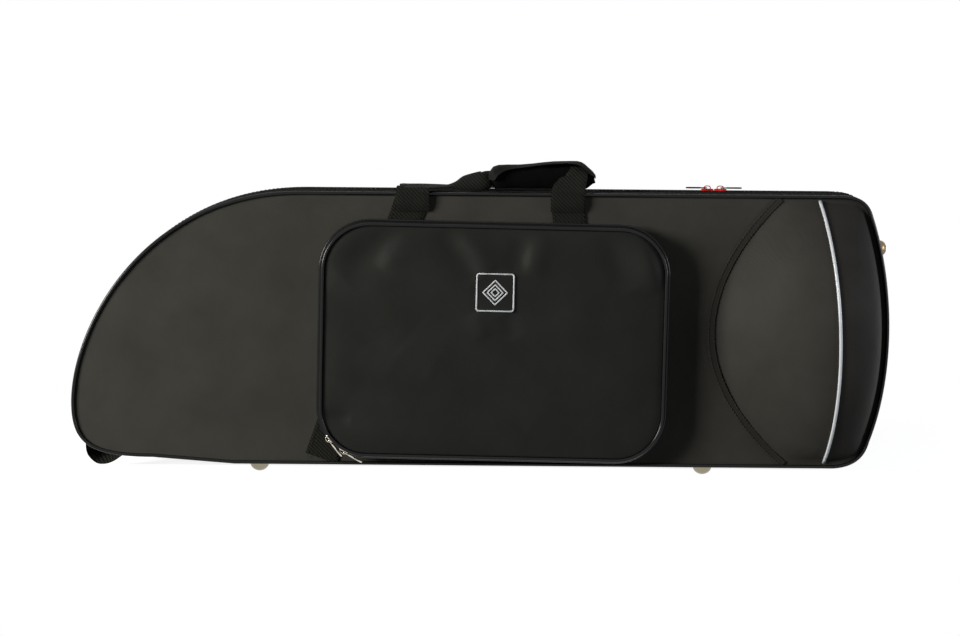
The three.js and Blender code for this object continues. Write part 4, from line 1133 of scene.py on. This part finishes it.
def pocket_sliders():
    corner = np.array([POCKET_X - CORNER_X, -88.8, POCKET_Z - CORNER_Z])
    for k, degrees in enumerate((220, 242), 1):
        angle = math.radians(degrees)
        c, s = math.cos(angle), math.sin(angle)
        out, along = np.array([c, 0, s]), np.array([-s, 0, c])
        seat = corner + out * (POCKET_CORNER + 1.8)
        bail = seat + out * PULL_HEIGHT + along * PULL_INSET
        turn = math.pi / 2 - angle + POCKET_TILT
        kinds = (("slider", slider(), turn, seat), ("pull", pull(), turn + math.pi, bail))
        for kind, shape, spin, place in kinds:
            place = askew(place[None])[0]
            fit(shape, spin, place, f"nickel_{kind}_{k}", NICKEL, f"pocket_{kind}_{k}", "nickel")


main_sliders()
pocket_sliders()
bevelled("accessory_tab", "flap_tab", WEBBING, "accessory_flap", 0.4)

# Floor, light and camera


def seen_rays(nodes):
    """1 for rays that show the white background: from the camera, from gloss and through glass"""
    rays = nodes.add("LightPath").outputs
    total = rays["Is Camera Ray"]
    for kind in ("Is Glossy Ray", "Is Transmission Ray"):
        total = nodes.math("ADD", total, rays[kind], use_clamp=True)
    return total


def floor():
    """White outside the shadow; it ends at the hinge line, since the open lid swings below it"""
    size = 30
    mesh = bpy.data.meshes.new("floor")
    mesh.from_pydata([(-size, 0, 0), (size, 0, 0), (size, size, 0), (-size, size, 0)], [], [(0, 1, 2, 3)])
    obj = linked("floor", mesh)
    look = bpy.data.materials.new("floor")
    nodes = Nodes(look)
    nodes.tree.nodes.clear()
    out, mix = nodes.add("OutputMaterial"), nodes.add("MixShader")
    plain, glow = nodes.add("BsdfDiffuse"), nodes.add("Emission")
    glow.inputs["Color"].default_value = (1, 1, 1, 1)
    shown = seen_rays(nodes)
    nodes.link(nodes.between(shown, (0.16, 0.16, 0.16), (4, 4, 4)), plain.inputs["Color"])
    far = nodes.add("VectorMath", operation="LENGTH")
    nodes.link(nodes.add("TexCoord").outputs["Object"], far.inputs[0])
    glowing = nodes.math("MULTIPLY", nodes.spread(far.outputs["Value"], 0.84, 1.0, 0.55, 0.8), shown)
    for spot, source in enumerate((glowing, plain.outputs[0], glow.outputs[0])):
        nodes.link(source, mix.inputs[spot])
    nodes.link(mix.outputs[0], out.inputs[0])
    obj.data.materials.append(look)


def world():
    """Dim light all round, and a white background to seen rays"""
    made = bpy.data.worlds.new("studio")
    scene.world = made
    nodes = Nodes(made)
    color = nodes.between(seen_rays(nodes), (0.022, 0.024, 0.028), (1, 1, 1))
    nodes.link(color, nodes.tree.nodes["Background"].inputs["Color"])


def lamp(name, place, target, size, watts, color):
    data = bpy.data.lights.new(name, "AREA")
    data.shape, data.energy, data.color = "RECTANGLE", watts, color
    data.size, data.size_y = size
    obj = linked(name, data)
    obj.location = place
    obj.visible_camera = False
    obj.rotation_euler = (Vector(target) - Vector(place)).to_track_quat("-Z", "Y").to_euler()


CAMERA_PLACE, LOOKS_DOWN, ROLL, LENS = (0, -2.8, 0.4408), 5.31, 0.48, 87.84


def camera():
    data = bpy.data.cameras.new("camera")
    data.lens, data.sensor_width = LENS, 36
    data.clip_end = 100
    obj = linked("camera", data)
    tilt = Matrix.Rotation(math.radians(90 - LOOKS_DOWN), 4, "X")
    obj.matrix_world = Matrix.Translation(CAMERA_PLACE) @ tilt @ Matrix.Rotation(math.radians(ROLL), 4, "Z")
    scene.camera = obj


floor()
world()
lamp("key", (-2.2, -1.45, 0.75), (0, 0, 0.17), (1.0, 0.8), 92, (1, 0.975, 0.93))
lamp("side", (1.3, -0.45, 0.4), (0.45, 0, 0.17), (0.4, 0.4), 5, (0.92, 0.96, 1))
lamp("back", (0.2, 1.9, 0.17), (0, 0, 0.17), (2.6, 0.3), 26, (1, 1, 1))
camera()
scene.view_settings.view_transform = "Standard"
